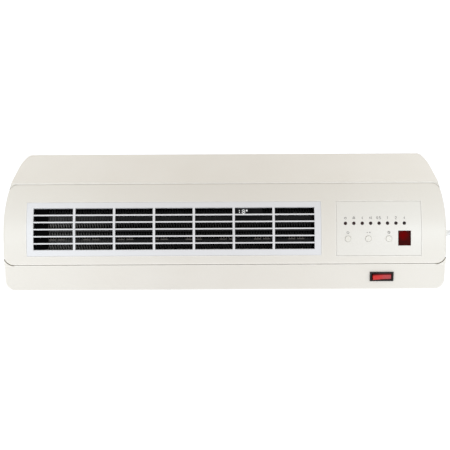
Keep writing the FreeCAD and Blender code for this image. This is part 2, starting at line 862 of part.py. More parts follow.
# Control panel with holes for the lights, the buttons and the receiver window
panel_reach = S.front_radius - S.panel_recess
panel_depth = S.grille_depth - S.panel_recess
panel_inner = panel_reach - panel_depth
light_angle = arc_angle(S.light_rise)
button_angle = arc_angle(S.button_rise)
light_xs = [panel_left + S.light_inset + S.light_pitch * number for number in range(int(S.light_count.value))]
BUTTONS = ("mode_button", "level_button", "timer_button")
button_xs = [panel_left + S.button_inset + S.button_pitch * number for number in range(len(BUTTONS))]
board_face = S.board_reach + S.board_thick
bore = (board_face, S.front_radius + S.wall)
panel_holes = [front_rod(f"light_hole_{number}", light_angle, x, bore, S.light_radius + S.button_gap)
               for number, x in enumerate(light_xs)]
panel_holes += [front_rod(f"button_hole_{number}", button_angle, x, bore, S.button_radius + S.button_gap)
                for number, x in enumerate(button_xs)]
window_left = panel_left + S.window_inset
window_right = window_left + S.window_width
window_top = S.window_rise + S.window_height
panel_holes.append(front_band(
    "window_hole", (window_left - S.fit_gap / 2, window_right + S.fit_gap / 2),
    (S.window_rise - S.fit_gap / 2, window_top + S.fit_gap / 2), shell_reach))
panel_blank = insert_plate("panel_blank", panel_left, panel_right, panel_low, panel_depth, panel_reach)
panel_post_xs = (panel_left + S.post_inset, panel_right - S.post_inset)
post_out = (board_face, panel_inner + S.wall / 2)
panel_posts = [front_rod(f"panel_post_{number}", button_angle, x, post_out, S.board_post)
               for number, x in enumerate(panel_post_xs)]
panel_body = fuse("panel_body", panel_blank, *panel_posts)
post_bore_out = (S.board_reach - OVER, board_face + POST_SCREW_LENGTH)
post_screw_holes = [front_rod(f"post_screw_hole_{number}", button_angle, x, post_bore_out, POST_SCREW)
                    for number, x in enumerate(panel_post_xs)]
name_part("control_panel", cut("control_panel_cut", panel_body, *panel_holes, *post_screw_holes))

# Light guides, receiver window and the three push buttons
LIGHT_GAP = 2.0
light_out = (board_face + LIGHT_GAP, panel_reach + S.lens_proud)
lights = [front_rod(f"light_{number}", light_angle, x, light_out, S.light_radius)
          for number, x in enumerate(light_xs)]
name_part("indicator_lights", group("indicator_lights_group", *lights))
window_plate = front_band("window_plate", (window_left, window_right), (S.window_rise, window_top),
                          (panel_inner - S.flange_depth, panel_reach + S.lens_proud))
window_rim = 1.5
window_flange = front_band(
    "window_flange", (window_left - window_rim, window_right + window_rim),
    (S.window_rise - window_rim, window_top + window_rim),
    (panel_inner - S.flange_depth - S.fit_gap / 2, panel_inner - S.fit_gap / 2))
name_part("receiver_window", fuse("receiver_window_fuse", window_plate, window_flange))

TACT_BASE = 3.4
TACT_TOP = 4.3
REST_GAP = 0.3
STEM_LENGTH = 1.0
switch_top = board_face + TACT_TOP
stem_foot = switch_top + S.button_travel + REST_GAP
collar_top = panel_inner - REST_GAP
cap_out = (stem_foot + STEM_LENGTH, panel_reach + S.button_proud + S.button_travel)
for label, x in zip(BUTTONS, button_xs):
    cap = front_rod(label + "_cap", button_angle, x, cap_out, S.button_radius)
    collar = front_rod(label + "_collar", button_angle, x, (collar_top - S.button_collar, collar_top),
                       S.button_radius + S.button_collar)
    stem = front_rod(label + "_stem", button_angle, x, (stem_foot, stem_foot + 2 * STEM_LENGTH),
                     S.button_radius / 2)
    name_part(label, fuse(label + "_fuse", cap, collar, stem))

# Control board with the push switches and the remote receiver
BOARD_UP = (-16.0, 30.0)
BOARD_REACH_OUT = 2.0
control_board_x = (panel_left - BOARD_REACH_OUT, panel_right + BOARD_REACH_OUT)
board_blank = front_box("board_blank", button_angle, control_board_x, BOARD_UP, (S.board_reach, board_face))
board_hole_out = (S.board_reach - OVER, board_face + OVER)
board_holes = [front_rod(f"board_hole_{number}", button_angle, x, board_hole_out, POST_SCREW + S.fit_gap)
               for number, x in enumerate(panel_post_xs)]
name_part("control_board", cut("control_board_cut", board_blank, *board_holes))
TACT_WIDTH = 6.0
TACT_STUD = 1.6
tacts = []
for number, x in enumerate(button_xs):
    base = front_box(f"tact_base_{number}", button_angle, around(x, TACT_WIDTH), around(0, TACT_WIDTH),
                     (board_face, board_face + TACT_BASE))
    stud = front_rod(f"tact_stud_{number}", button_angle, x, (board_face + TACT_BASE / 2, switch_top),
                     TACT_STUD)
    tacts.append(fuse(f"tact_{number}", base, stud))
name_part("push_switches", group("push_switches_group", *tacts))
RECEIVER_WIDTH = 6.0
RECEIVER_HEIGHT = 7.0
RECEIVER_BASE = 4.0
RECEIVER_TOP = 6.0
RECEIVER_EYE = 2.4
window_middle = window_left + S.window_width / 2
receiver_base = front_box("receiver_base", button_angle, around(window_middle, RECEIVER_WIDTH),
                          around(0, RECEIVER_HEIGHT), (board_face, board_face + RECEIVER_BASE))
receiver_eye = front_rod("receiver_eye", button_angle, window_middle,
                         (board_face + RECEIVER_BASE / 2, board_face + RECEIVER_TOP), RECEIVER_EYE)
name_part("remote_receiver", fuse("remote_receiver_fuse", receiver_base, receiver_eye))
POST_HEAD = 2.4
POST_HEAD_HEIGHT = 1.6
post_screws = []
for number, x in enumerate(panel_post_xs):
    head = front_rod(f"post_screw_head_{number}", button_angle, x,
                     (S.board_reach - POST_HEAD_HEIGHT, S.board_reach), POST_HEAD)
    shank = front_rod(f"post_screw_shank_{number}", button_angle, x,
                      (S.board_reach, board_face + POST_SCREW_LENGTH - OVER), POST_SCREW)
    post_screws.append(fuse(f"post_screw_{number}", head, shank))
name_part("board_screws", group("board_screws_group", *post_screws))

# Rocker switch in the base band
ROCKER_WELL = 11.0
ROCKER_ROOM = 1.2
PIVOT_DEPTH = 4.5
PIN_RADIUS = 1.0
PIN_REACH = 0.7
PIN_END_GAP = 0.2
RUN_GAP = 0.08
bezel_front = base_front - S.bezel_rim
bezel_rear = base_front + S.bezel_body_depth
bezel_rim = box("bezel_rim", around(switch_middle, S.bezel_width), (bezel_front, base_front),
                around(S.switch_height, S.bezel_height))
bezel_body = box("bezel_body", around(switch_middle, S.bezel_body_width), (bezel_front, bezel_rear),
                 around(S.switch_height, S.bezel_body_height))
bezel_well = box("bezel_well", around(switch_middle, S.rocker_length, ROCKER_ROOM),
                 (bezel_front - S.wall, bezel_front + ROCKER_WELL),
                 around(S.switch_height, S.rocker_height, S.fit_gap))
pivot_y = bezel_front + PIVOT_DEPTH
pin_half = S.rocker_height / 2 + S.fit_gap + PIN_REACH
hole_half = pin_half + PIN_END_GAP
pivot_hole = rod("pivot_hole", "Z", (switch_middle, pivot_y, S.switch_height - hole_half), 2 * hole_half,
                 PIN_RADIUS + RUN_GAP)
bezel_blank = fuse("bezel_blank", bezel_rim, bezel_body)
name_part("switch_bezel", cut("switch_bezel_cut", bezel_blank, bezel_well, pivot_hole))
ROCKER_HORN = 0.2
ROCKER_DIP = 0.9
ROCKER_BELLY = 3.2
reach = S.rocker_length / 2
belly = size_of(ROCKER_BELLY)
horn = -PIVOT_DEPTH - ROCKER_HORN
level = size_of(0)
rocker_block = prism("rocker_block", "Z", [
    (-reach, horn), (level, -PIVOT_DEPTH + ROCKER_DIP), (reach, horn),
    (reach, level), (reach / 3, belly), (-reach / 3, belly), (-reach, level),
], around(0, S.rocker_height))
rocker_pin = rod("rocker_pin", "Z", (0, 0, -pin_half), 2 * pin_half, PIN_RADIUS)
rocker = fuse("switch_rocker_fuse", rocker_block, rocker_pin)
place(rocker, switch_middle, pivot_y, S.switch_height, Z_AXIS, S.rocker_tilt)
name_part("switch_rocker", rocker)
SWITCH_TABS = (-9.0, 0.0, 9.0)
TAB_THICK = 0.8
SWITCH_TAB_HEIGHT = 4.8
SWITCH_TAB_LENGTH = 9.0
tabs = [box(f"switch_tab_{number}", around(switch_middle + offset, TAB_THICK),
            (bezel_rear, bezel_rear + SWITCH_TAB_LENGTH), around(S.switch_height, SWITCH_TAB_HEIGHT))
        for number, offset in enumerate(SWITCH_TABS)]
name_part("switch_terminals", group("switch_terminals_group", *tabs))

# Heating element: flat tubes with ceramic stones inside, folded fins between them, end holders
element_angle = arc_angle(S.element_rise)
element_out = (S.element_reach, S.element_reach + S.element_depth)
TUBES = 3
element_half = (S.tube_height * TUBES + S.fin_height * (TUBES + 1)) / 2
tubes = []
for number in range(TUBES):
    low = -element_half + S.fin_height * (number + 1) + S.tube_height * number
    tubes.append(front_box(f"heater_tube_{number}", element_angle, (element_left, element_right),
                           (low, low + S.tube_height), element_out))
name_part("heater_tubes", group("heater_tubes_group", *tubes))


def folded_fin(low, high):
    """Zigzag strip between two heights, drawn as one closed outline and carried along the depth."""
    half_fold = S.fin_pitch.value / 2
    folds = int((element_right - element_left).value / half_fold)
    half_thick = S.fin_thick.value / 2 * math.hypot(1, (high - low) / half_fold)
    wave = [(element_left.value + half_fold * k, high if k % 2 else low) for k in range(folds + 1)]
    wave = [(x, min(max(up, low + half_thick), high - half_thick)) for x, up in wave]
    ahead = [Vector(x, up + half_thick, element_out[0].value) for x, up in wave]
    behind = [Vector(x, up - half_thick, element_out[0].value) for x, up in reversed(wave)]
    loop = Part.makePolygon(ahead + behind + ahead[:1])
    return Part.Face(loop).extrude(Vector(0, 0, S.element_depth.value))


fin_solids = []
for number in range(TUBES + 1):
    low = (-element_half + (S.fin_height + S.tube_height) * number).value
    fin_solids.append(folded_fin(low, low + S.fin_height.value))
fins = doc.addObject("Part::Feature", "heater_fins_shape")
fins.Shape = Part.makeCompound(fin_solids)
fins.Placement = Placement(
    Vector(0, arc_y.value, arc_z.value), Rotation(X_AXIS, 90 - element_angle.value))
name_part("heater_fins", fins)

holder_up = (-element_half - S.holder_margin, element_half + S.holder_margin)
holder_out = (element_out[0] - S.holder_margin, element_out[1] + S.holder_margin)
name_part("heater_holder_left", front_box(
    "holder_left_box", element_angle, (duct_left, element_left), holder_up, holder_out))
name_part("heater_holder_right", front_box(
    "holder_right_box", element_angle, (element_right, duct_right), holder_up, holder_out))
TAB_LENGTH = 12.0
TAB_WIDTH = 6.4
TAB_ROOM = 1.2
tab_middle = (element_out[0] + element_out[1]) / 2
tab_end = duct_right + TAB_LENGTH
tab_ups = [S.tube_height + S.fin_height, -(S.tube_height + S.fin_height)]
heater_tabs = []
tab_slots = []
for number, up in enumerate(tab_ups):
    heater_tabs.append(front_box(f"heater_tab_{number}", element_angle, (duct_right, tab_end),
                                 around(up, TAB_THICK), around(tab_middle, TAB_WIDTH)))
    tab_slots.append(front_box(f"tab_slot_{number}", element_angle, (duct_right - OVER, tab_end),
                               around(up, TAB_THICK, TAB_ROOM), around(tab_middle, TAB_WIDTH, TAB_ROOM)))
name_part("heater_terminals", group("heater_terminals_group", *heater_tabs))
CUTOUT_UP = -16.0
CUTOUT_CAP = 6.0
CUTOUT_BASE = 3.0
CUTOUT_STEP = 1.2
CUTOUT_MARGIN = 0.6
cutout_x = element_right + S.holder_right / 2
cutout_radius = S.holder_right / 2 - CUTOUT_MARGIN
cap_foot = holder_out[0] - CUTOUT_CAP
cutout_cap = front_rod("cutout_cap", element_angle, cutout_x, (cap_foot, holder_out[0]), cutout_radius,
                       CUTOUT_UP)
cutout_base = front_rod("cutout_base", element_angle, cutout_x, (cap_foot - CUTOUT_BASE, cap_foot + OVER),
                        cutout_radius - CUTOUT_STEP, CUTOUT_UP)
name_part("thermal_cutout", fuse("thermal_cutout_fuse", cutout_cap, cutout_base))

# Blower: end plates, scroll, tongue and the cross-flow drum
drum_y = front + S.drum_depth
drum_z = S.drum_height
# A deeper case takes a larger drum
drum_radius = S.body_depth * S.drum_share
scroll_radius = drum_radius + S.scroll_gap
PRESS_GAP = 0.05
inner_back = back - S.wall


def side_spot(depth, height):
    return front + depth, size_of(height)


# Depth and height of the end plates' corners below and above the edge that meets the back
PLATE_LOW = ((10.5, 43.0), (30.0, 37.5), (104.0, 37.5))
PLATE_HIGH = ((98.0, 117.0), (50.0, 112.0), (27.5, 105.5))
PLATE_BACK = (46.0, 104.0)
PLATE_ROOM = 1.5


def end_plate(name, span, hole_radius, *slots_in):
    """Upright plate that closes one end of the blower and reaches the back of the housing."""
    outline = [side_spot(*spot) for spot in PLATE_LOW]
    outline += [(inner_back, size_of(height)) for height in PLATE_BACK]
    outline += [side_spot(*spot) for spot in PLATE_HIGH]
    blank = prism(name + "_blank", "X", outline, span, [(drum_y, drum_z, hole_radius)])
    return cut(name + "_cut", blank, *slots_in) if slots_in else blank


plate_left = (duct_left - S.end_plate, duct_left)
plate_right = (duct_right, duct_right + S.end_plate)
name_part("blower_plate_left", end_plate("plate_left", plate_left, S.bush_radius + PRESS_GAP))
name_part("blower_plate_right", end_plate("plate_right", plate_right, S.bush_radius + PLATE_ROOM, *tab_slots))


def about_drum(radius, angle):
    return drum_y + radius * cos_of(angle), drum_z + radius * sin_of(angle)


SCROLL_START = 42.0
SCROLL_VIA = -24.0
scroll_outer = scroll_radius + S.sheet_thick
SCROLL_LIP = 31.0
scroll_lip = front + SCROLL_LIP
scroll_inside = about_drum(scroll_radius, SCROLL_START)
scroll_outside = about_drum(scroll_outer, SCROLL_START)
scroll = prism("scroll", "X", [
    scroll_inside,
    Arc(drum_y, drum_z - scroll_radius, *about_drum(scroll_radius, SCROLL_VIA), scroll_radius),
    (scroll_lip, drum_z - scroll_radius),
    (scroll_lip, drum_z - scroll_outer),
    (drum_y, drum_z - scroll_outer),
    Arc(*scroll_outside, *about_drum(scroll_outer, SCROLL_VIA), scroll_outer),
], (duct_left, duct_right))
name_part("blower_scroll", scroll)
# Distance behind the front of the drum, and height
TONGUE_SPOTS = ((3.2, 97.4), (7.2, 100.8), (8.4, 111.5), (6.9, 111.5), (5.8, 101.8), (2.2, 98.7))
tongue_outline = [(drum_y - drum_radius + depth, size_of(height)) for depth, height in TONGUE_SPOTS]
tongue = prism("tongue", "X", tongue_outline, (duct_left, duct_right))
name_part("blower_tongue", tongue)

BLADE_LEAN = 9.0
BLADE_BOW = 0.16
BLADE_CURVE = 1.4
TIP_INSET = 0.5
blade_inner = drum_radius - S.blade_chord
blade_curve = S.blade_chord * BLADE_CURVE
blade_mid = blade_inner + S.blade_chord / 2
tip = (drum_radius * cos_of(BLADE_LEAN) - TIP_INSET, drum_radius * sin_of(BLADE_LEAN))
blade_body, blade_sketch = new_sketch("drum_blade", "YZ_Plane")
draw_outline(blade_sketch, [
    (blade_inner, size_of(0)),
    Arc(*tip, blade_mid, S.blade_chord * BLADE_BOW, blade_curve),
    (tip[0] - S.blade_thick / 3, tip[1] + S.blade_thick),
    Arc(blade_inner, S.blade_thick, blade_mid - S.blade_thick / 4, S.blade_chord * BLADE_BOW + S.blade_thick,
        blade_curve),
])
blade_pad = blade_body.newObject("PartDesign::Pad", "drum_blade_pad")
blade_pad.Profile = blade_sketch
bind(blade_pad, Length=drum_right - drum_left)
doc.recompute()
blades = []
for number in range(int(S.blade_count.value)):
    blade = doc.addObject("Part::Feature", f"drum_blade_{number}")
    blade.Shape = blade_body.Shape
    turn = 360 / S.blade_count.value * number
    blade.Placement = Placement(
        Vector(drum_left.value, drum_y.value, drum_z.value), Rotation(X_AXIS, turn))
    blades.append(blade)
DISC_LEDGE = 2.0
COUPLING_WALL = 2.0
COUPLING_LENGTH = 7.0
STUB_REACH = 6.0
coupling_radius = S.bush_radius + COUPLING_WALL
sections = int(S.drum_sections.value)
disc_bores = {0: S.shaft_radius + PRESS_GAP, sections: coupling_radius + PRESS_GAP}
discs = []
for number in range(sections + 1):
    left = drum_left + (drum_right - drum_left - S.drum_disc) / S.drum_sections * number
    disc = rod(f"drum_disc_{number}", "X", (left, drum_y, drum_z), S.drum_disc, drum_radius)
    opening = disc_bores.get(number, blade_inner - DISC_LEDGE)
    disc_bore = rod(f"drum_bore_{number}", "X", (left - OVER, drum_y, drum_z), S.drum_disc + 2 * OVER,
                    opening)
    discs.append(cut(f"drum_ring_{number}", disc, disc_bore))
name_part("fan_drum", fuse("fan_drum_fuse", *discs, *blades))
stub_left = plate_left[0] - S.bush_length / 2
stub_right = drum_left + STUB_REACH
stub = rod("stub_rod", "X", (stub_left, drum_y, drum_z), stub_right - stub_left, S.shaft_radius)
name_part("drum_stub_shaft", stub)


def ring(name, start, length, outer, bore_radius):
    """Round piece on the drum's axis with a bore through it."""
    blank = rod(name + "_rod", "X", (start, drum_y, drum_z), length, outer)
    hollow = rod(name + "_bore", "X", (start - OVER, drum_y, drum_z), length + 2 * OVER, bore_radius)
    return cut(name, blank, hollow)


coupling_start = drum_right - S.drum_disc / 2 - COUPLING_LENGTH / 2
name_part("drum_coupling", ring(
    "coupling_ring", coupling_start, size_of(COUPLING_LENGTH), coupling_radius, S.shaft_radius + PRESS_GAP))
run_radius = S.shaft_radius + RUN_GAP
name_part("drum_bush", ring("drum_bush_ring", stub_left, S.bush_length, S.bush_radius, run_radius))

# Shaded-pole motor on the right-hand end plate
STACK_BELOW = 20.0
STACK_ABOVE = 40.0
LIMB_BELOW = 28.0
WINDOW_HALF = 13.0
WINDOW_HEIGHT = 8.0
WRAP = 6.0
WRAP_GAP = 0.3
ROTOR_INSET = 0.5
motor_x = (motor_left, motor_left + S.stack_length)
motor_right = motor_x[1]
stack_high = drum_z + STACK_ABOVE
limb_low = drum_z + LIMB_BELOW
open_x = (motor_x[0] - OVER, motor_x[1] + OVER)
stator_block = box("stator_block", motor_x, around(drum_y, S.stack_width), (drum_z - STACK_BELOW, stack_high))
stator_bore = rod("stator_bore", "X", (open_x[0], drum_y, drum_z), S.stack_length + 2 * OVER,
                  S.rotor_radius + S.air_gap)
stator_window = box("stator_window", open_x, around(drum_y, 2 * WINDOW_HALF),
                    (limb_low - WINDOW_HEIGHT, limb_low))
name_part("motor_stator", cut("stator_cut", stator_block, stator_bore, stator_window))
winding_block = box("winding_block", (motor_x[0] - WRAP, motor_x[1] + WRAP),
                    around(drum_y, 2 * WINDOW_HALF, -WRAP_GAP),
                    (limb_low - WINDOW_HEIGHT + WRAP_GAP, stack_high + WRAP))
winding_bore = box("winding_bore", (motor_x[0] - WRAP_GAP, motor_x[1] + WRAP_GAP),
                   around(drum_y, 2 * WINDOW_HALF, OVER), (limb_low - WRAP_GAP, stack_high + WRAP_GAP))
name_part("motor_winding", cut("winding_cut", winding_block, winding_bore))
name_part("motor_rotor", ring("rotor_ring", motor_left + ROTOR_INSET, S.stack_length - 2 * ROTOR_INSET,
                              S.rotor_radius, S.shaft_radius + PRESS_GAP))
SHAFT_TAIL = 8.0
shaft_end = motor_right + S.motor_bracket + SHAFT_TAIL
motor_shaft = rod("motor_shaft_rod", "X", (coupling_start, drum_y, drum_z), shaft_end - coupling_start,
                  S.shaft_radius)
name_part("motor_shaft", motor_shaft)
MOTOR_BUSH_WALL = 2.4
BRACKET_WIDTH = 14.0
BRACKET_BELOW = 26.0
BRACKET_ABOVE = 19.5
motor_bush = S.shaft_radius + MOTOR_BUSH_WALL
bracket_start = motor_left - S.motor_bracket


def motor_bracket(name, start):
    """Upright strip across one side of the stack with a seat for the bush."""
    strip = box(name + "_strip", (start, start + S.motor_bracket), around(drum_y, BRACKET_WIDTH),
                (drum_z - BRACKET_BELOW, drum_z + BRACKET_ABOVE))
    seat = rod(name + "_seat", "X", (start - OVER, drum_y, drum_z), S.motor_bracket + 2 * OVER,
               motor_bush + PRESS_GAP)
    return cut(name, strip, seat)


name_part("motor_bracket_inner", motor_bracket("bracket_inner", bracket_start))
name_part("motor_bracket_outer", motor_bracket("bracket_outer", motor_right))
name_part("motor_bushes", group(
    "motor_bushes_group", ring("bush_inner", bracket_start, S.motor_bracket, motor_bush, run_radius),
    ring("bush_outer", motor_right, S.motor_bracket, motor_bush, run_radius)))
STANDOFF_RADIUS = 3.6
STANDOFF_RISES = (-21.0, 14.8)
standoff_length = bracket_start - plate_right[1]
standoffs = [
    rod(f"motor_standoff_{number}", "X", (plate_right[1], drum_y, drum_z + rise), standoff_length,
        STANDOFF_RADIUS)
    for number, rise in enumerate(STANDOFF_RISES)]
name_part("motor_standoffs", group("motor_standoffs_group", *standoffs))

# Temperature display behind the top row of slots
DISPLAY_COLUMN = 5
DISPLAY_INSET = 2.15
DISPLAY_WIDTH = 17.0
DISPLAY_HEIGHT = 7.8
DISPLAY_DEPTH = 3.6
DISPLAY_GAP = 5.2
DISPLAY_BOARD_UP = (-6.0, 26.0)
DISPLAY_POST_UP = 21.0
DISPLAY_POST_REACH = 28.0
BOARD_EDGE_LEFT = 4.0
BOARD_EDGE_RIGHT = 6.0
display_left = column_start + column_pitch * DISPLAY_COLUMN + DISPLAY_INSET
display_angle = arc_angle(window_rise[1] - row_pitch / 2)
display_front = S.front_radius - DISPLAY_GAP
display_out = (display_front - DISPLAY_DEPTH, display_front)
display_x = (display_left, display_left + DISPLAY_WIDTH)
display_height = around(0, DISPLAY_HEIGHT)
name_part("display_module", front_box("display_box", display_angle, display_x, display_height, display_out))
display_post_x = display_left + DISPLAY_POST_REACH
board_x = (display_left - BOARD_EDGE_LEFT, display_post_x + BOARD_EDGE_RIGHT)
name_part("display_board", front_box("display_plate", display_angle, board_x, DISPLAY_BOARD_UP,
                                     (display_out[0] - S.board_thick, display_out[0])))
display_post_out = (display_out[0], S.front_radius - S.wall / 2 - S.fit_gap)
display_post = front_rod("display_post", display_angle, display_post_x, display_post_out, S.board_post,
                         DISPLAY_POST_UP)
name_part("front_cover", fuse("front_cover_fuse", cover_pierced, display_post))
SEGMENTS = {"top": (0, 2), "mid": (0, 1), "low": (0, 0), "upper_left": (-1, 1), "upper_right": (1, 1),
            "lower_left": (-1, 0), "lower_right": (1, 0)}
DIGITS = (("upper_right", "lower_right"), tuple(SEGMENTS))
DIGIT_WIDTH = 3.2
DIGIT_HALF = 2.4
DIGIT_FIRST = 2.2
DIGIT_PITCH = 6.9
STROKE = 0.75
SEGMENT_GAP = 0.15
DIGIT_THICK = 0.2
DEGREE_WIDTH = 1.9
DEGREE_STROKE = 0.6
digit_out = (display_front, display_front + DIGIT_THICK)
stroke_end = STROKE / 2 + SEGMENT_GAP
strokes = []
for digit, lit in enumerate(DIGITS):
    middle = display_left + DIGIT_FIRST + DIGIT_PITCH * digit
    for name in lit:
        column, row = SEGMENTS[name]
        up = DIGIT_HALF * (row - 1)
        if column == 0:
            x = (middle - DIGIT_WIDTH / 2 + stroke_end, middle + DIGIT_WIDTH / 2 - stroke_end)
            span = around(up, STROKE)
        else:
            x = around(middle + column * DIGIT_WIDTH / 2, STROKE)
            span = (up + stroke_end, up + DIGIT_HALF - stroke_end)
        strokes.append(front_box(f"digit_{digit}_{name}", display_angle, x, span, digit_out))
degree_left = display_left + DIGIT_FIRST + DIGIT_PITCH + DIGIT_WIDTH
degree_right = degree_left + DEGREE_WIDTH
degree_low = DIGIT_HALF - DEGREE_WIDTH
degree_plate = front_box("degree_plate", display_angle, (degree_left, degree_right),
                         (degree_low, DIGIT_HALF), digit_out)
degree_hole = front_box("degree_hole", display_angle,
                        (degree_left + DEGREE_STROKE, degree_right - DEGREE_STROKE),
                        (degree_low + DEGREE_STROKE, DIGIT_HALF - DEGREE_STROKE),
                        (display_front, display_front + DIGIT_THICK + OVER))
strokes.append(cut("degree_ring", degree_plate, degree_hole))
name_part("display_digits", group("display_digits_group", *strokes))

# Supply board with its relays, capacitors and terminal block
SUPPLY_HEAD = 2.5
SUPPLY_HEAD_HEIGHT = 1.8
board_front = supply_back - S.board_thick
supply_x = (supply_left, supply_left + S.supply_width)
supply_z = (S.supply_bottom, S.supply_bottom + S.supply_height)
supply_holes = [rod(f"supply_hole_{number}", "Y", (x, board_front - OVER, z), S.board_thick + 2 * OVER,
                    POST_SCREW + S.fit_gap)
                for number, (x, z) in enumerate(post_spots)]
supply_blank = box("supply_blank", supply_x, (board_front, supply_back), supply_z)
name_part("supply_board", cut("supply_board_cut", supply_blank, *supply_holes))
supply_screws = []
for number, (x, z) in enumerate(post_spots):
    head = rod(f"supply_screw_head_{number}", "Y", (x, board_front - SUPPLY_HEAD_HEIGHT, z),
               size_of(SUPPLY_HEAD_HEIGHT), SUPPLY_HEAD)
    shank = rod(f"supply_screw_shank_{number}", "Y", (x, board_front, z),
                S.board_thick + POST_SCREW_LENGTH - OVER, POST_SCREW)
    supply_screws.append(fuse(f"supply_screw_{number}", head, shank))
name_part("supply_screws", group("supply_screws_group", *supply_screws))

# Left edge, bottom edge, width, height and stand of each block on the supply board
BLOCKS = {
    "relay_low": (14.0, 15.0, 19.0, 15.5, 15.0),
    "relay_high": (14.0, 43.0, 19.0, 15.5, 15.0),
    "film_capacitor": (37.0, 33.0, 26.0, 10.0, 16.0),
    "terminal_box": (38.0, 17.0, 24.0, 12.0, 12.0),
}
BARREL_SPOT = (48.0, 56.0)
BARREL_RADIUS = 5.0
BARREL_STAND = 16.0
blocks = {}
for name, (left, bottom, width, height, stand) in BLOCKS.items():
    x = supply_left + left
    z = S.supply_bottom + bottom
    blocks[name] = box(name, (x, x + width), (board_front - stand, board_front), (z, z + height))
name_part("relays", group("relays_group", blocks["relay_low"], blocks["relay_high"]))
barrel_start = (supply_left + BARREL_SPOT[0], board_front - BARREL_STAND, S.supply_bottom + BARREL_SPOT[1])
barrel = rod("barrel_capacitor", "Y", barrel_start, size_of(BARREL_STAND), BARREL_RADIUS)
name_part("capacitors", group("capacitors_group", blocks["film_capacitor"], barrel))
name_part("terminal_block", blocks["terminal_box"])
# Share of the shorter run next to a corner that its bend takes up
BEND_SHARE = 0.45


def tube(points, radius):
    """Round tube along straight runs joined by tangent arcs, its path and the radii of the arcs."""
    edges = []
    radii = []
    here = points[0]
    for before, corner, after in zip(points, points[1:], points[2:]):
        inward, outward = corner - before, after - corner
        turn = inward.getAngle(outward)
        setback = BEND_SHARE * min(inward.Length, outward.Length)
        radii.append(setback / math.tan(turn / 2))
        inward, outward = inward.normalize(), outward.normalize()
        start, end = corner - inward * setback, corner + outward * setback
        bisector = (outward - inward).normalize()
        sag = radii[-1] * (1 / math.cos(turn / 2) - 1)
        edges.append(Part.LineSegment(here, start).toShape())
        edges.append(Part.Arc(start, corner + bisector * sag, end).toShape())
        here = end
    edges.append(Part.LineSegment(here, points[-1]).toShape())
    path = Part.Wire(edges)
    return pipe(path, points[1] - points[0], radius), path, radii


def pipe(path, heading, radius):
    """Round solid along a path that starts with the given heading."""
    ring = Part.Wire([Part.Circle(path.Vertexes[0].Point, heading, radius).toShape()])
    solid = path.makePipeShell([ring], True, False)
    wanted = math.pi * radius * radius * path.Length
    if abs(solid.Volume / wanted - 1) > 0.01:
        raise RuntimeError("a tube does not have its section's volume")
    return solid


def feature(label, shape):
    made = doc.addObject("Part::Feature", label + "_shape")
    made.Shape = shape
    return name_part(label, made)


# Wires inside: heater leads to the relays, mains leads to the terminal block
LEAD_RADIUS = 1.2


def lead(start, x, end_y):
    """Wire that runs along X and then back to a piece on the supply board, level all the way."""
    corner = Vector(x.value, start.y, start.z)
    return tube([start, corner, Vector(x.value, end_y.value, start.z)], LEAD_RADIUS)[0]


relay_left, _, relay_width, _, relay_stand = BLOCKS["relay_low"]
heater_wires = []
for up in tab_ups:
    y, z = front_place(element_angle, up, tab_middle)
    start = Vector(tab_end.value, y.value, z.value)
    heater_wires.append(lead(start, supply_left + relay_left + relay_width / 2, board_front - relay_stand))
feature("heater_leads", Part.makeCompound(heater_wires))

COLLAR_LENGTH = 3.5
COLLAR_RIM = 3.0
# Height beside the cord's axis and place along the terminal block of each mains lead
MAINS_LEADS = ((-2.0, 6.0), (2.0, 18.0))
block_left, block_stand = BLOCKS["terminal_box"][0], BLOCKS["terminal_box"][4]
collar_start = housing_half - S.wall - COLLAR_LENGTH
mains_wires = []
for offset, post in MAINS_LEADS:
    start = Vector(collar_start.value, cord_y.value, S.cord_exit_height.value + offset)
    mains_wires.append(lead(start, supply_left + block_left + post, board_front - block_stand))
feature("mains_leads", Part.makeCompound(mains_wires))

# Cord: tapered strain relief, the lead down to the floor, the coil, its tie and the plug
RELIEF_PLAY = 0.1
RELIEF_LIP = 0.5
cord_radius = S.cord_diameter / 2
relief_tip = housing_half + S.relief_length
neck_radius = S.relief_radius - RELIEF_PLAY
relief_collar = rod("relief_collar", "X", (collar_start, cord_y, S.cord_exit_height), size_of(COLLAR_LENGTH),
                    S.relief_radius + COLLAR_RIM)
relief_neck = rod("relief_neck", "X", (housing_half - S.wall - OVER, cord_y, S.cord_exit_height),
                  S.wall + 2 * OVER, neck_radius)
relief_taper = cone("relief_taper", "X", (housing_half + RELIEF_LIP, cord_y, S.cord_exit_height),
                    S.relief_length - RELIEF_LIP, neck_radius, cord_radius + RELIEF_LIP)
name_part("strain_relief", fuse("relief_fuse", relief_collar, relief_neck, relief_taper))

lie = (S.tie_thick + S.fit_gap + cord_radius).value
lead_start = Vector(relief_tip.value, cord_y.value, S.cord_exit_height.value)
# Distances out from the relief of the corners and the end of the lead
CORD_RUN = (40.3, 73.3, 113.6)
lead_points = [
    lead_start,
    lead_start + Vector(CORD_RUN[0], 0, 0),
    Vector(lead_start.x + CORD_RUN[1], lead_start.y, lie),
    Vector(lead_start.x + CORD_RUN[2], lead_start.y, lie),
]
lead_shape, lead_wire, lead_radii = tube(lead_points, cord_radius.value)
feature("mains_cord", lead_shape)
print("cord bends", [round(radius, 1) for radius in lead_radii])


def coil_path():
    """Nodes at each half turn: in on the lower layer, up a layer where it turns, out on the upper."""
    half_turns = 2 * int(S.coil_turns.value)
    step = S.coil_step.value / 2
    wide = S.coil_inner.value + step * half_turns
    inward = [wide - step * k for k in range(half_turns + 1)]
    radii = inward + inward[::-1]
    start = lead_points[-1] + Vector(S.cord_diameter.value, 0, 0)
    nodes = [start]
    for k in range(1, len(radii)):
        side = -1 if k % 2 else 1
        rise = S.coil_step.value if k == half_turns + 1 else 0
        nodes.append(nodes[-1] + Vector(0, side * (radii[k - 1] + radii[k]), rise))
    return nodes, radii


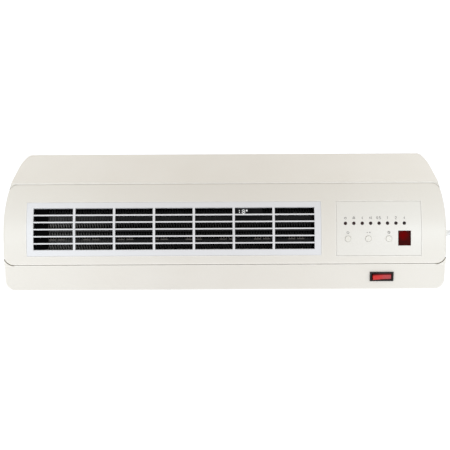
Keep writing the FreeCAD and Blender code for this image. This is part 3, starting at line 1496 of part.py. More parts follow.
coil_nodes, coil_radii = coil_path()
coil_edges = [Part.LineSegment(lead_points[-1], coil_nodes[0]).toShape()]
for k, (first, last) in enumerate(zip(coil_nodes, coil_nodes[1:])):
    bulge = (last - first).Length / 2
    middle = (first + last) / 2 + Vector(-bulge if k % 2 else bulge, 0, 0)
    coil_edges.append(Part.Arc(first, middle, last).toShape())
coil_end = coil_nodes[-1] - Vector(S.plug_lead.value, 0, 0)
coil_edges.append(Part.LineSegment(coil_nodes[-1], coil_end).toShape())
coil_wire = Part.Wire(coil_edges)
feature("cord_coil", pipe(coil_wire, X_AXIS, cord_radius.value))


# Length along the tube, in coil radii, within which two places count as neighbours
COIL_SKIP = 2.5
COIL_SPACING = 4.0


def least_gap(wire, spacing):
    """Smallest distance between the surfaces of turns that are not neighbours along the tube."""
    points = [point for edge in wire.Edges for point in edge.discretize(Distance=spacing)[:-1]]
    skip = int(COIL_SKIP * S.coil_inner.value / spacing)
    least = min(
        points[a].distanceToPoint(points[b])
        for a in range(len(points)) for b in range(a + skip, len(points)))
    return least - S.cord_diameter.value


print("coil gap", round(least_gap(coil_wire, COIL_SPACING), 2))
print("cord length", round(lead_wire.Length + coil_wire.Length, 1))

tie_middle = coil_nodes[0].x
bundle = [coil_radii[k] + coil_radii[k + 1] for k in range(1, 2 * int(S.coil_turns.value), 2)]
bundle_x = (tie_middle - max(bundle) / 2 - cord_radius.value - S.fit_gap.value,
            tie_middle - min(bundle) / 2 + cord_radius.value + 3 * S.fit_gap.value)
bundle_z = (S.tie_thick, S.tie_thick + S.coil_step + S.cord_diameter + 2 * S.fit_gap)
lower_y = (coil_nodes[1].y + coil_nodes[2].y) / 2
upper_y = (coil_nodes[-3].y + coil_nodes[-2].y) / 2
tie_y = (lower_y + upper_y) / 2
tie_span = around(tie_y, S.tie_width)
tie_outer = box("tie_outer", (bundle_x[0] - S.tie_thick, bundle_x[1] + S.tie_thick), tie_span,
                (0, bundle_z[1] + S.tie_thick))
tie_inner = box("tie_inner", bundle_x, (tie_span[0] - OVER, tie_span[1] + OVER), bundle_z)
name_part("coil_tie", cut("coil_tie_cut", tie_outer, tie_inner))

PLUG_ROUND = 4.0
TAIL_WALL = 1.2
TAIL_STEP = 2.0
plug_z = size_of(coil_end.z)
plug_back = coil_end.x - S.plug_tail
plug_face = plug_back - S.plug_length
plug_block = box("plug_block", (plug_face, plug_back), around(coil_end.y, S.plug_width), (0, 2 * plug_z))
plug_tail = cone("plug_tail_cone", "-X", (coil_end.x, coil_end.y, plug_z), S.plug_tail + OVER,
                 cord_radius + TAIL_WALL, plug_z - TAIL_STEP)
doc.recompute()
plug_round = doc.addObject("Part::Fillet", "plug_round")
plug_round.Base = plug_block
plug_round.Edges = [(index, PLUG_ROUND, PLUG_ROUND) for index, edge in enumerate(plug_block.Shape.Edges, 1)
                    if edge.BoundBox.XLength > 1]
name_part("plug_body", fuse("plug_body_fuse", plug_round, plug_tail))
pins = [rod(f"plug_pin_{number}", "X", (plug_face - S.pin_length, y, plug_z), S.pin_length, S.pin_radius)
        for number, y in enumerate(around(coil_end.y, S.pin_spacing))]
name_part("plug_pins", group("plug_pins_group", *pins))

check_and_write()
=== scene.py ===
"""Looks of a wall-hung fan heater: finishes for its CAD pieces, and the pieces that only the scene shapes.

Frame: X to the right along the case, Y from the front to the wall, Z up, metres.
"""

import json
import logging
import math
from dataclasses import dataclass
from enum import Enum

import bpy
import numpy as np
from bpy.types import ID, Material, Node, NodeOutputs, NodeSocket, NodeTree, Object
from mathutils import Matrix, Vector


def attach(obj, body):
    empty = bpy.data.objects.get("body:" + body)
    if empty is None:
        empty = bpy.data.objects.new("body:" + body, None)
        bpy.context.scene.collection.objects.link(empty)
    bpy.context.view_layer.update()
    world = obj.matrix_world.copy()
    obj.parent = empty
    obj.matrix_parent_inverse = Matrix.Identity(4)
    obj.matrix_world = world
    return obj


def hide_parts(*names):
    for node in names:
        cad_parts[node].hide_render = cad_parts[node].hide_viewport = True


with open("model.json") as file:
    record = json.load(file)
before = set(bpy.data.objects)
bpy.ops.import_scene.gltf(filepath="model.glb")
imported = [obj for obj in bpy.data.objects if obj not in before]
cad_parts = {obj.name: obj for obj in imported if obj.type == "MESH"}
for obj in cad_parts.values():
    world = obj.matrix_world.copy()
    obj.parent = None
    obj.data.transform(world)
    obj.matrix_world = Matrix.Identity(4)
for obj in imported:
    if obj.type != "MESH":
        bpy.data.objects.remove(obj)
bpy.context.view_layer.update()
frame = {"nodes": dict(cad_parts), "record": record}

log = logging.getLogger("fan_heater")

Colour = tuple[float, float, float]
Point = tuple[float, float, float]
Pair = tuple[float, float]
Feed = NodeSocket | float | Colour
Inputs = dict[str, Feed]
Skin = tuple[np.ndarray, list[list[int]]]


class Body(Enum):
    """CAD bodies that pieces of the scene ride on."""

    CASE = "case"


class Streak(Enum):
    """Direction in which a metal was drawn or rolled, as stretch factors of its streaks."""

    ALONG_X = (0.04, 1.0, 1.0)
    CAST = (1.0, 1.0, 1.0)


class Socket(Enum):
    """Kinds of socket that a shared effect has."""

    VALUE = "NodeSocketFloat"
    VECTOR = "NodeSocketVector"


class Wiring:
    """Adds nodes to one node tree and joins them."""

    def __init__(self, tree: NodeTree) -> None:
        """Keeps the tree that the nodes go into."""
        self.tree = tree

    def feed(self, socket: NodeSocket, value: Feed) -> None:
        """Joins a socket to another one, or sets it to a plain number or colour.

        Args:
            socket: The socket that takes the value.
            value: A socket to join, a number, a vector or a colour of three numbers.
        """
        if isinstance(value, NodeSocket):
            self.tree.links.new(value, socket)
        elif socket.type == "RGBA":
            socket.default_value = (*value, 1.0)
        else:
            socket.default_value = value

    def node(self, kind: str, inputs: dict[str | int, Feed] | None = None, **settings: object) -> Node:
        """Adds a node.

        Args:
            kind: Blender's name of the node type.
            inputs: What each input takes, by the input's name or number.
            **settings: Options of the node itself.

        Returns:
            The new node.
        """
        made = self.tree.nodes.new(kind)
        for key, value in settings.items():
            setattr(made, key, value)
        for key, value in (inputs or {}).items():
            self.feed(made.inputs[key], value)
        return made

    def maths(self, operation: str, first: Feed, second: Feed = 0.0, clamp: bool = False) -> NodeSocket:
        """Result of an arithmetic step on one or two values; clamp holds it between 0 and 1."""
        made = self.node("ShaderNodeMath", {0: first, 1: second}, operation=operation, use_clamp=clamp)
        return made.outputs[0]

    def vector(self, operation: str, first: Feed, second: Feed = (0.0, 0.0, 0.0)) -> NodeOutputs:
        """Results of a step on one or two vectors: a vector, then "Value"."""
        return self.node("ShaderNodeVectorMath", {0: first, 1: second}, operation=operation).outputs

    def place(self, centre: Point = (0.0, 0.0, 0.0)) -> NodeSocket:
        """Object coordinates in metres, counted from a centre."""
        return self.vector("SUBTRACT", self.node("ShaderNodeTexCoord").outputs["Object"], centre)[0]

    def split(self, vector: Feed) -> NodeOutputs:
        """Parts of a vector, by the names of their axes."""
        return self.node("ShaderNodeSeparateXYZ", {"Vector": vector}).outputs

    def joined(self, **parts: Feed) -> NodeSocket:
        """Vector of parts, by the names of their axes."""
        return self.node("ShaderNodeCombineXYZ", parts).outputs[0]

    def normal(self) -> NodeSocket:
        """Normal of the surface as it is shaded."""
        return self.node("ShaderNodeNewGeometry").outputs["Normal"]

    def ranged(self, value: Feed, low: float, high: float, start: float = 0.0,
               end: float = 1.0) -> NodeSocket:
        """Value carried over from the range start to end to the range low to high, held at both ends."""
        inputs = {"Value": value, "From Min": start, "From Max": end, "To Min": low, "To Max": high}
        return self.node("ShaderNodeMapRange", inputs).outputs["Result"]

    def mix(self, share: Feed, first: Feed, second: Feed) -> NodeSocket:
        """Two colours mixed by the share of the second one; 6, 7 and 2 are the node's colour sockets."""
        return self.node("ShaderNodeMix", {0: share, 6: first, 7: second}, data_type="RGBA").outputs[2]

    def noise(self, spot: Feed, scale: Feed, detail: float, roughness: float = 0.5) -> NodeSocket:
        """Cloudy noise about one half: patterns per metre, number of finer layers and their weight."""
        inputs = {"Vector": spot, "Scale": scale, "Detail": detail, "Roughness": roughness}
        return self.node("ShaderNodeTexNoise", inputs).outputs[0]

    def bump(self, height: Feed, depth: float, strength: float, **beneath: Feed) -> NodeSocket:
        """Normal that follows a height with a depth in metres, over the Normal beneath where one is given."""
        inputs = {"Height": height, "Distance": depth, "Strength": strength, **beneath}
        return self.node("ShaderNodeBump", inputs).outputs[0]

    def group(self, effect: NodeTree, inputs: Inputs) -> NodeOutputs:
        """Outputs of a shared effect that is placed with these inputs."""
        return self.node("ShaderNodeGroup", inputs, node_tree=effect).outputs


class Effect(Wiring):
    """A shader node group while it is being built."""

    def __init__(self, name: str, inputs: dict[str, float]) -> None:
        """Makes the group with its inputs.

        Args:
            name: Name of the group.
            inputs: Named inputs with their usual values.
        """
        super().__init__(bpy.data.node_groups.new(name, "ShaderNodeTree"))
        for key, value in inputs.items():
            made = self.tree.interface.new_socket(name=key, in_out="INPUT", socket_type=Socket.VALUE.value)
            made.default_value = value
        self.given = self.node("NodeGroupInput").outputs

    def put(self, **results: NodeSocket) -> NodeTree:
        """Gives the group an output for each result.

        Args:
            **results: The results, by the names of their outputs.

        Returns:
            The finished group.
        """
        for key, socket in results.items():
            self.tree.interface.new_socket(name=key, in_out="OUTPUT", socket_type=Socket[socket.type].value)
        self.node("NodeGroupOutput", results)
        return self.tree


class Effects:
    """The effects that several finishes share, each built once."""

    # Cosine of the turn at an edge: all edge at the first, none of it at the second
    EDGE_COSINES: Pair = (0.72, 0.985)
    # Upward part of the normal: no dust at the first, all of it at the second
    DUST_SLOPES: Pair = (0.35, 1.0)

    def __init__(self) -> None:
        """Builds all groups."""
        self.skin = self._moulded_skin()
        self.edge = self._rubbed_and_highlit_edge()
        self.dust = self._settled_dust()
        self.streaks = self._metal_streaks()
        self.turns = self._wire_turns()

    def _moulded_skin(self) -> NodeTree:
        """Fine spark-eroded grain as a height, and a broad soft mottle as a mask.

        Returns:
            The group.
        """
        effect = Effect("moulded_skin", {"Grain Scale": 1500.0, "Mottle Scale": 14.0})
        spot = effect.place()
        grain = effect.noise(spot, effect.given["Grain Scale"], 2.0, 0.6)
        mottle = effect.noise(spot, effect.given["Mottle Scale"], 3.0, 0.55)
        return effect.put(Grain=grain, Mottle=effect.ranged(mottle, 0.0, 1.0, 0.3, 0.7))

    def _rubbed_and_highlit_edge(self) -> NodeTree:
        """Normal rounded over the edges, and a mask of the edges, broken up by noise.

        Returns:
            The group.
        """
        effect = Effect("rubbed_and_highlit_edge", {"Radius": 0.0006})
        rounded = effect.node("ShaderNodeBevel", {"Radius": effect.given["Radius"]}, samples=6).outputs[0]
        facing = effect.vector("DOT_PRODUCT", rounded, effect.normal())["Value"]
        turned = effect.ranged(facing, 1.0, 0.0, *self.EDGE_COSINES)
        patches = effect.ranged(effect.noise(effect.place(), 90.0, 3.0), 0.35, 1.0, 0.3, 0.65)
        return effect.put(Edge=effect.maths("MULTIPLY", turned, patches), Normal=rounded)

    def _settled_dust(self) -> NodeTree:
        """Mask of dust: upward faces take it, in uneven patches.

        Returns:
            The group.
        """
        effect = Effect("settled_dust", {"Scale": 35.0})
        upward = effect.ranged(effect.split(effect.normal())["Z"], 0.0, 1.0, *self.DUST_SLOPES)
        clouds = effect.noise(effect.place(), effect.given["Scale"], 6.0, 0.7)
        return effect.put(Dust=effect.maths("MULTIPLY", upward, effect.ranged(clouds, 0.2, 1.0, 0.3, 0.75)))

    def _metal_streaks(self) -> NodeTree:
        """Fine streaks of drawn or rolled metal, stretched on each axis, and broad stains.

        Returns:
            The group.
        """
        effect = Effect("metal_streaks", {"Scale": 900.0, "Stretch X": 1.0, "Stretch Y": 1.0, "Stretch Z": 1.0})
        spot = effect.place()
        stretch = effect.joined(**{axis: effect.given[f"Stretch {axis}"] for axis in "XYZ"})
        streak = effect.noise(effect.vector("MULTIPLY", spot, stretch)[0], effect.given["Scale"], 3.0)
        stain = effect.noise(spot, 70.0, 4.0)
        return effect.put(Streak=effect.ranged(streak, 0.0, 1.0, 0.25, 0.75),
                          Stain=effect.ranged(stain, 0.0, 1.0, 0.4, 0.75))

    def _wire_turns(self) -> NodeTree:
        """Height of ridges laid side by side along one axis, as turns of wire or stacked sheets.

        Returns:
            The group.
        """
        effect = Effect("wire_turns", {"Scale": 400.0, "Waver": 0.3, "X": 1.0, "Y": 0.0, "Z": 0.0})
        axis = effect.joined(**{key: effect.given[key] for key in "XYZ"})
        along = effect.vector("DOT_PRODUCT", effect.place(), axis)["Value"]
        wave = effect.node("ShaderNodeTexWave", {
            "Vector": effect.joined(X=along), "Scale": effect.given["Scale"], "Distortion": effect.given["Waver"]})
        return effect.put(Ridge=wave.outputs["Fac"])


class Finish:
    """Base of the finishes: a material of one shader."""

    def make(self, name: str, effects: Effects) -> Material:
        """Builds the material.

        Args:
            name: Name of the material.
            effects: The shared effects.

        Returns:
            The material.
        """
        material = bpy.data.materials.new(name)
        material.use_nodes = True
        wiring = Wiring(material.node_tree)
        shader = material.node_tree.nodes["Principled BSDF"]
        for key, value in self.inputs(wiring, effects).items():
            wiring.feed(shader.inputs[key], value)
        return material

    def inputs(self, wiring: Wiring, effects: Effects) -> Inputs:
        """What the shader takes; each finish lays it out in its own way.

        Args:
            wiring: Wiring of the material's tree.
            effects: The shared effects.

        Returns:
            What each named input of the shader takes.
        """
        raise NotImplementedError


DUST_TONE: Colour = (0.62, 0.60, 0.55)
# Distance between ridges of the wave pattern at a scale of one, in metres
WAVE_LENGTH = 0.314


@dataclass(frozen=True)
class Moulded(Finish):
    """Moulded plastic or rubber: grain, soft mottle, lighter edges (wear, and painted highlight) and a little dust.

    Tones are linear; grain and mottle are patterns per metre, depths and radii are metres. The edges are rounded
    by edge_radius and lighter within the wear radius: rubbed wear, and on the case a painted highlight along the
    crease and the seams.
    """

    colour: Colour
    shade: Colour
    edge_tone: Colour
    roughness: float = 0.42
    play: float = 0.06
    grain: float = 1500.0
    grain_depth: float = 0.000015
    mottle: float = 14.0
    edge_radius: float = 0.0006
    wear_and_highlight_radius: float = 0.0006
    wear_and_highlight: float = 0.25
    dust: float = 0.05
    coat: float = 0.0
    gloss: float = 0.5
    bump: float = 0.6

    def inputs(self, wiring: Wiring, effects: Effects) -> Inputs:
        """Mottled tone, lighter edges, then dust; grain over rounded edges as bump."""
        skin = wiring.group(effects.skin, {"Grain Scale": self.grain, "Mottle Scale": self.mottle})
        edge = wiring.group(effects.edge, {"Radius": self.edge_radius})
        rubbed_and_highlit = wiring.group(effects.edge, {"Radius": self.wear_and_highlight_radius})
        dust = wiring.maths("MULTIPLY", wiring.group(effects.dust, {})["Dust"], self.dust)
        tone = wiring.mix(skin["Mottle"], self.colour, self.shade)
        # Lighter edges: rubbed wear, and on the case, where they are wide and full, a painted highlight
        tone = wiring.mix(wiring.maths("MULTIPLY", rubbed_and_highlit["Edge"], self.wear_and_highlight), tone, self.edge_tone)
        rough = wiring.ranged(skin["Mottle"], self.roughness - self.play, self.roughness + self.play)
        return {"Base Color": wiring.mix(dust, tone, DUST_TONE), "Roughness": wiring.maths("ADD", rough, dust),
                "Specular IOR Level": self.gloss, "Coat Weight": self.coat,
                "Normal": wiring.bump(skin["Grain"], self.grain_depth, self.bump, Normal=edge["Normal"])}


@dataclass(frozen=True)
class Metal(Finish):
    """Bare or painted metal: streaks of its making, stains and bright edges."""

    colour: Colour
    shade: Colour
    edge_tone: Colour
    roughness: float = 0.35
    play: float = 0.12
    streak: Streak = Streak.CAST
    scale: float = 900.0
    streak_depth: float = 0.00001
    edge_radius: float = 0.0003
    wear_and_highlight: float = 0.5
    metallic: float = 1.0
    bump: float = 0.5

    def inputs(self, wiring: Wiring, effects: Effects) -> Inputs:
        """Streaked and stained tone with bright edges; streaks as bump and roughness."""
        stretch = dict(zip(("Stretch X", "Stretch Y", "Stretch Z"), self.streak.value))
        streaks = wiring.group(effects.streaks, {"Scale": self.scale, **stretch})
        edge = wiring.group(effects.edge, {"Radius": self.edge_radius})
        tone = wiring.mix(streaks["Stain"], self.colour, self.shade)
        tone = wiring.mix(wiring.maths("MULTIPLY", edge["Edge"], self.wear_and_highlight), tone, self.edge_tone)
        rough = wiring.ranged(streaks["Streak"], self.roughness - self.play, self.roughness + self.play)
        normal = wiring.bump(streaks["Streak"], self.streak_depth, self.bump, Normal=edge["Normal"])
        return {"Base Color": tone, "Roughness": rough, "Metallic": self.metallic, "Normal": normal}


@dataclass(frozen=True)
class Dashes:
    """A row of short bare places along X. All sizes in metres."""

    start: float
    period: float
    length: float
    low: float
    top: float

    def mask(self, wiring: Wiring, spot: NodeOutputs) -> NodeSocket:
        """Mask of the row: within a length of each start, between two heights.

        Args:
            wiring: Wiring of the material's tree.
            spot: Outputs of the split object coordinates.

        Returns:
            The socket with the mask.
        """
        along = wiring.maths("FLOORED_MODULO", wiring.maths("SUBTRACT", spot["X"], self.start), self.period)
        between = wiring.maths("MULTIPLY", wiring.maths("GREATER_THAN", spot["Z"], self.low),
                               wiring.maths("LESS_THAN", spot["Z"], self.top))
        return wiring.maths("MULTIPLY", wiring.maths("LESS_THAN", along, self.length), between)


@dataclass(frozen=True)
class ShadeDarkenedMetal(Finish):
    """Metal of the heating element, darkened as painted shade behind the grille.

    Greyer at the lit end, with painted shade deepening along X and between the folds, near black above a height.
    Ends, pitches and places along the element are metres; fold_rise holds the ridge heights where the painted
    valley shade begins to fade and is gone.
    """

    pale: Colour
    dark: Colour
    lit_end: float = -0.205
    shaded_end: float = -0.120
    black_above: float = 0.0945
    fold_pitch: float = 0.0034
    fold_shade: float = 0.5
    fold_waver: float = 0.2
    fold_rise: Pair = (0.1, 0.6)
    grain: float = 500.0
    grain_stretch: float = 0.1
    deepest_shade: float = 0.85
    stain: float = 0.2
    dash_tone: Colour = (0.128, 0.117, 0.107)
    dashes: tuple[Dashes, ...] = (
        Dashes(-0.2280, 0.0443, 0.0092, 0.0648, 0.0708), Dashes(-0.2162, 0.0443, 0.0092, 0.0648, 0.0708),
        Dashes(-0.2210, 0.0148, 0.0013, 0.0968, 0.0978))
    roughness: float = 0.6
    play: float = 0.1
    gloss: float = 0.2

    def inputs(self, wiring: Wiring, effects: Effects) -> Inputs:
        """Painted shade that deepens along X and between the folds, stained, near black above a height; dashes on
        top.
        """
        streaks = wiring.group(effects.streaks, {"Scale": self.grain, "Stretch Z": self.grain_stretch})
        folds = wiring.group(effects.turns, {"Scale": WAVE_LENGTH / self.fold_pitch, "Waver": self.fold_waver})
        spot = wiring.split(wiring.place())
        painted_shade = wiring.ranged(spot["X"], 0.0, self.deepest_shade, self.lit_end, self.shaded_end)
        painted_shade = wiring.maths("ADD", painted_shade, wiring.maths("MULTIPLY", streaks["Stain"], self.stain))
        painted_shade = wiring.maths("ADD", painted_shade, wiring.maths("GREATER_THAN", spot["Z"], self.black_above))
        valley_shade = wiring.ranged(folds["Ridge"], self.fold_shade, 0.0, *self.fold_rise)
        tone = wiring.mix(wiring.maths("ADD", painted_shade, valley_shade, clamp=True), self.pale, self.dark)
        for row in self.dashes:
            tone = wiring.mix(row.mask(wiring, spot), tone, self.dash_tone)
        rough = wiring.ranged(streaks["Streak"], self.roughness - self.play, self.roughness + self.play)
        return {"Base Color": tone, "Roughness": rough, "Specular IOR Level": self.gloss}


@dataclass(frozen=True)
class Tinted(Finish):
    """Tinted plastic, bright round one spot, as light falls into it there, and dim over a height as a painted
    shadow.

    Places, reach, radii and depths are metres; grain and mottle are patterns per metre.
    """

    bright: Colour
    deep: Colour
    spot: Point
    reach: float
    dim: Colour = (0.0, 0.0, 0.0)
    shadow_above: float = 1.0
    roughness: float = 0.12
    edge_radius: float = 0.0004
    coat: float = 0.6
    coat_roughness: float = 0.08
    gloss: float = 0.5
    grain: float = 700.0
    mottle: float = 220.0
    clouds: float = 0.15
    play: float = 0.08
    shadow_fade: float = 0.0005
    grain_depth: float = 0.00001
    bump: float = 0.15

    def inputs(self, wiring: Wiring, effects: Effects) -> Inputs:
        """Tone that falls from bright to deep over the reach, with moulding clouds; clear coat."""
        skin = wiring.group(effects.skin, {"Grain Scale": self.grain, "Mottle Scale": self.mottle})
        edge = wiring.group(effects.edge, {"Radius": self.edge_radius})
        away = wiring.vector("LENGTH", wiring.place(self.spot))["Value"]
        share = wiring.ranged(away, 1.0, 0.0, 0.0, self.reach)
        cloud = wiring.ranged(skin["Mottle"], -self.clouds, self.clouds)
        tone = wiring.mix(wiring.maths("ADD", share, cloud, clamp=True), self.deep, self.bright)
        # Painted shadow: the dim tone over the top, above a height
        high = wiring.ranged(wiring.split(wiring.place())["Z"], 0.0, 1.0,
                             self.shadow_above - self.shadow_fade, self.shadow_above + self.shadow_fade)
        return {"Base Color": wiring.mix(high, tone, self.dim),
                "Roughness": wiring.ranged(skin["Mottle"], self.roughness, self.roughness + self.play),
                "Coat Weight": self.coat, "Coat Roughness": self.coat_roughness, "Specular IOR Level": self.gloss,
                "Normal": wiring.bump(skin["Grain"], self.grain_depth, self.bump, Normal=edge["Normal"])}


@dataclass(frozen=True)
class Lit(Finish):
    """Lit segments of a small display, a little uneven in brightness."""

    glow: Colour
    dim: Colour
    strength: float = 1.0
    body: Colour = (0.02, 0.02, 0.02)
    body_shade: Colour = (0.05, 0.05, 0.05)
    grain: float = 900.0
    mottle: float = 500.0
    roughness: float = 0.5

    def inputs(self, wiring: Wiring, effects: Effects) -> Inputs:
        """Glow that varies along the segments, over a dark body."""
        skin = wiring.group(effects.skin, {"Grain Scale": self.grain, "Mottle Scale": self.mottle})
        return {"Emission Color": wiring.mix(skin["Mottle"], self.glow, self.dim),
                "Emission Strength": self.strength,
                "Base Color": wiring.mix(skin["Grain"], self.body, self.body_shade), "Roughness": self.roughness}


@dataclass(frozen=True)
class CircuitBoard(Finish):
    """Solder-resist board with tracks under the lacquer and tinned pads."""

    resist: Colour = (0.012, 0.085, 0.03)
    track: Colour = (0.03, 0.16, 0.055)
    solder: Colour = (0.62, 0.62, 0.6)
    mottle: float = 60.0
    track_scale: float = 90.0
    track_gap: float = 0.06
    track_blur: float = 0.1
    pad_scale: float = 260.0
    pad_scatter: float = 0.35
    pad_edge: Pair = (0.14, 0.2)
    pad_rise: float = 2.0
    cloud_share: float = 0.3
    roughness: Pair = (0.25, 0.4)
    depth: float = 0.00005
    bump: float = 0.4

    def inputs(self, wiring: Wiring, effects: Effects) -> Inputs:
        """Brick courses as the tracks, round cells as the pads."""
        clouds = wiring.group(effects.skin, {"Mottle Scale": self.mottle})["Mottle"]
        spot = wiring.node("ShaderNodeMapping", {
            "Vector": wiring.place(), "Rotation": (math.radians(90.0), 0.0, 0.0)}).outputs[0]
        courses = wiring.node("ShaderNodeTexBrick", {
            "Vector": spot, "Scale": self.track_scale, "Mortar Size": self.track_gap,
            "Mortar Smooth": self.track_blur}).outputs["Fac"]
        pads = wiring.node("ShaderNodeTexVoronoi", {
            "Vector": spot, "Scale": self.pad_scale, "Randomness": self.pad_scatter}).outputs["Distance"]
        tinned = wiring.ranged(pads, 1.0, 0.0, *self.pad_edge)
        tone = wiring.mix(courses, self.track, self.resist)
        tone = wiring.mix(wiring.maths("MULTIPLY", clouds, self.cloud_share), tone, self.resist)
        height = wiring.maths("ADD", courses, wiring.maths("MULTIPLY", tinned, self.pad_rise))
        return {"Base Color": wiring.mix(tinned, tone, self.solder), "Metallic": tinned,
                "Roughness": wiring.ranged(clouds, *self.roughness),
                "Normal": wiring.bump(height, self.depth, self.bump)}


@dataclass(frozen=True)
class Ridged(Finish):
    """Ridges laid side by side: lacquered wire, stacked sheets."""

    colour: Colour
    gap_shade_tone: Colour
    axis: Point
    scale: float
    waver: float = 0.4
    roughness: float = 0.3
    play: Pair = (-0.08, 0.12)
    grain: float = 600.0
    stain: float = 0.4
    ridge_rise: Pair = (0.05, 0.5)
    metallic: float = 1.0
    depth: float = 0.00015
    bump: float = 0.8

    def inputs(self, wiring: Wiring, effects: Effects) -> Inputs:
        """Dark gaps between ridges (painted shade between turns), ridge height as bump, stains on the ridges."""
        turns = wiring.group(effects.turns, {
            "Scale": self.scale, "Waver": self.waver, **dict(zip("XYZ", self.axis))})
        streaks = wiring.group(effects.streaks, {"Scale": self.grain})
        worn = wiring.mix(wiring.maths("MULTIPLY", streaks["Stain"], self.stain), self.colour, self.gap_shade_tone)
        ridge = wiring.ranged(turns["Ridge"], 0.0, 1.0, *self.ridge_rise)
        rough = wiring.ranged(streaks["Streak"], *(self.roughness + step for step in self.play))
        return {"Base Color": wiring.mix(ridge, self.gap_shade_tone, worn), "Roughness": rough,
                "Metallic": self.metallic, "Normal": wiring.bump(turns["Ridge"], self.depth, self.bump)}


@dataclass(frozen=True)
class GlowingPaper(Finish):
    """Matt paper with a faint grain, which glows so that hardly a shadow shows on it."""

    colour: Colour
    shade: Colour
    glow: Colour
    strength: float
    grain: float = 3.0

    def inputs(self, wiring: Wiring, effects: Effects) -> Inputs:
        """Faint grain under an even glow."""
        grain = wiring.noise(wiring.place(), self.grain, 2.0)
        return {"Base Color": wiring.mix(grain, self.colour, self.shade), "Emission Color": self.glow,
                "Emission Strength": self.strength, "Roughness": 1.0, "Specular IOR Level": 0.0}


IVORY: Colour = (0.800, 0.768, 0.704)
IVORY_SHADE: Colour = (0.788, 0.752, 0.684)
IVORY_EDGE: Colour = (0.86, 0.84, 0.79)
# Edge tone of the case: a painted highlight
IVORY_PAINTED_HIGHLIGHT: Colour = (0.98, 0.965, 0.92)

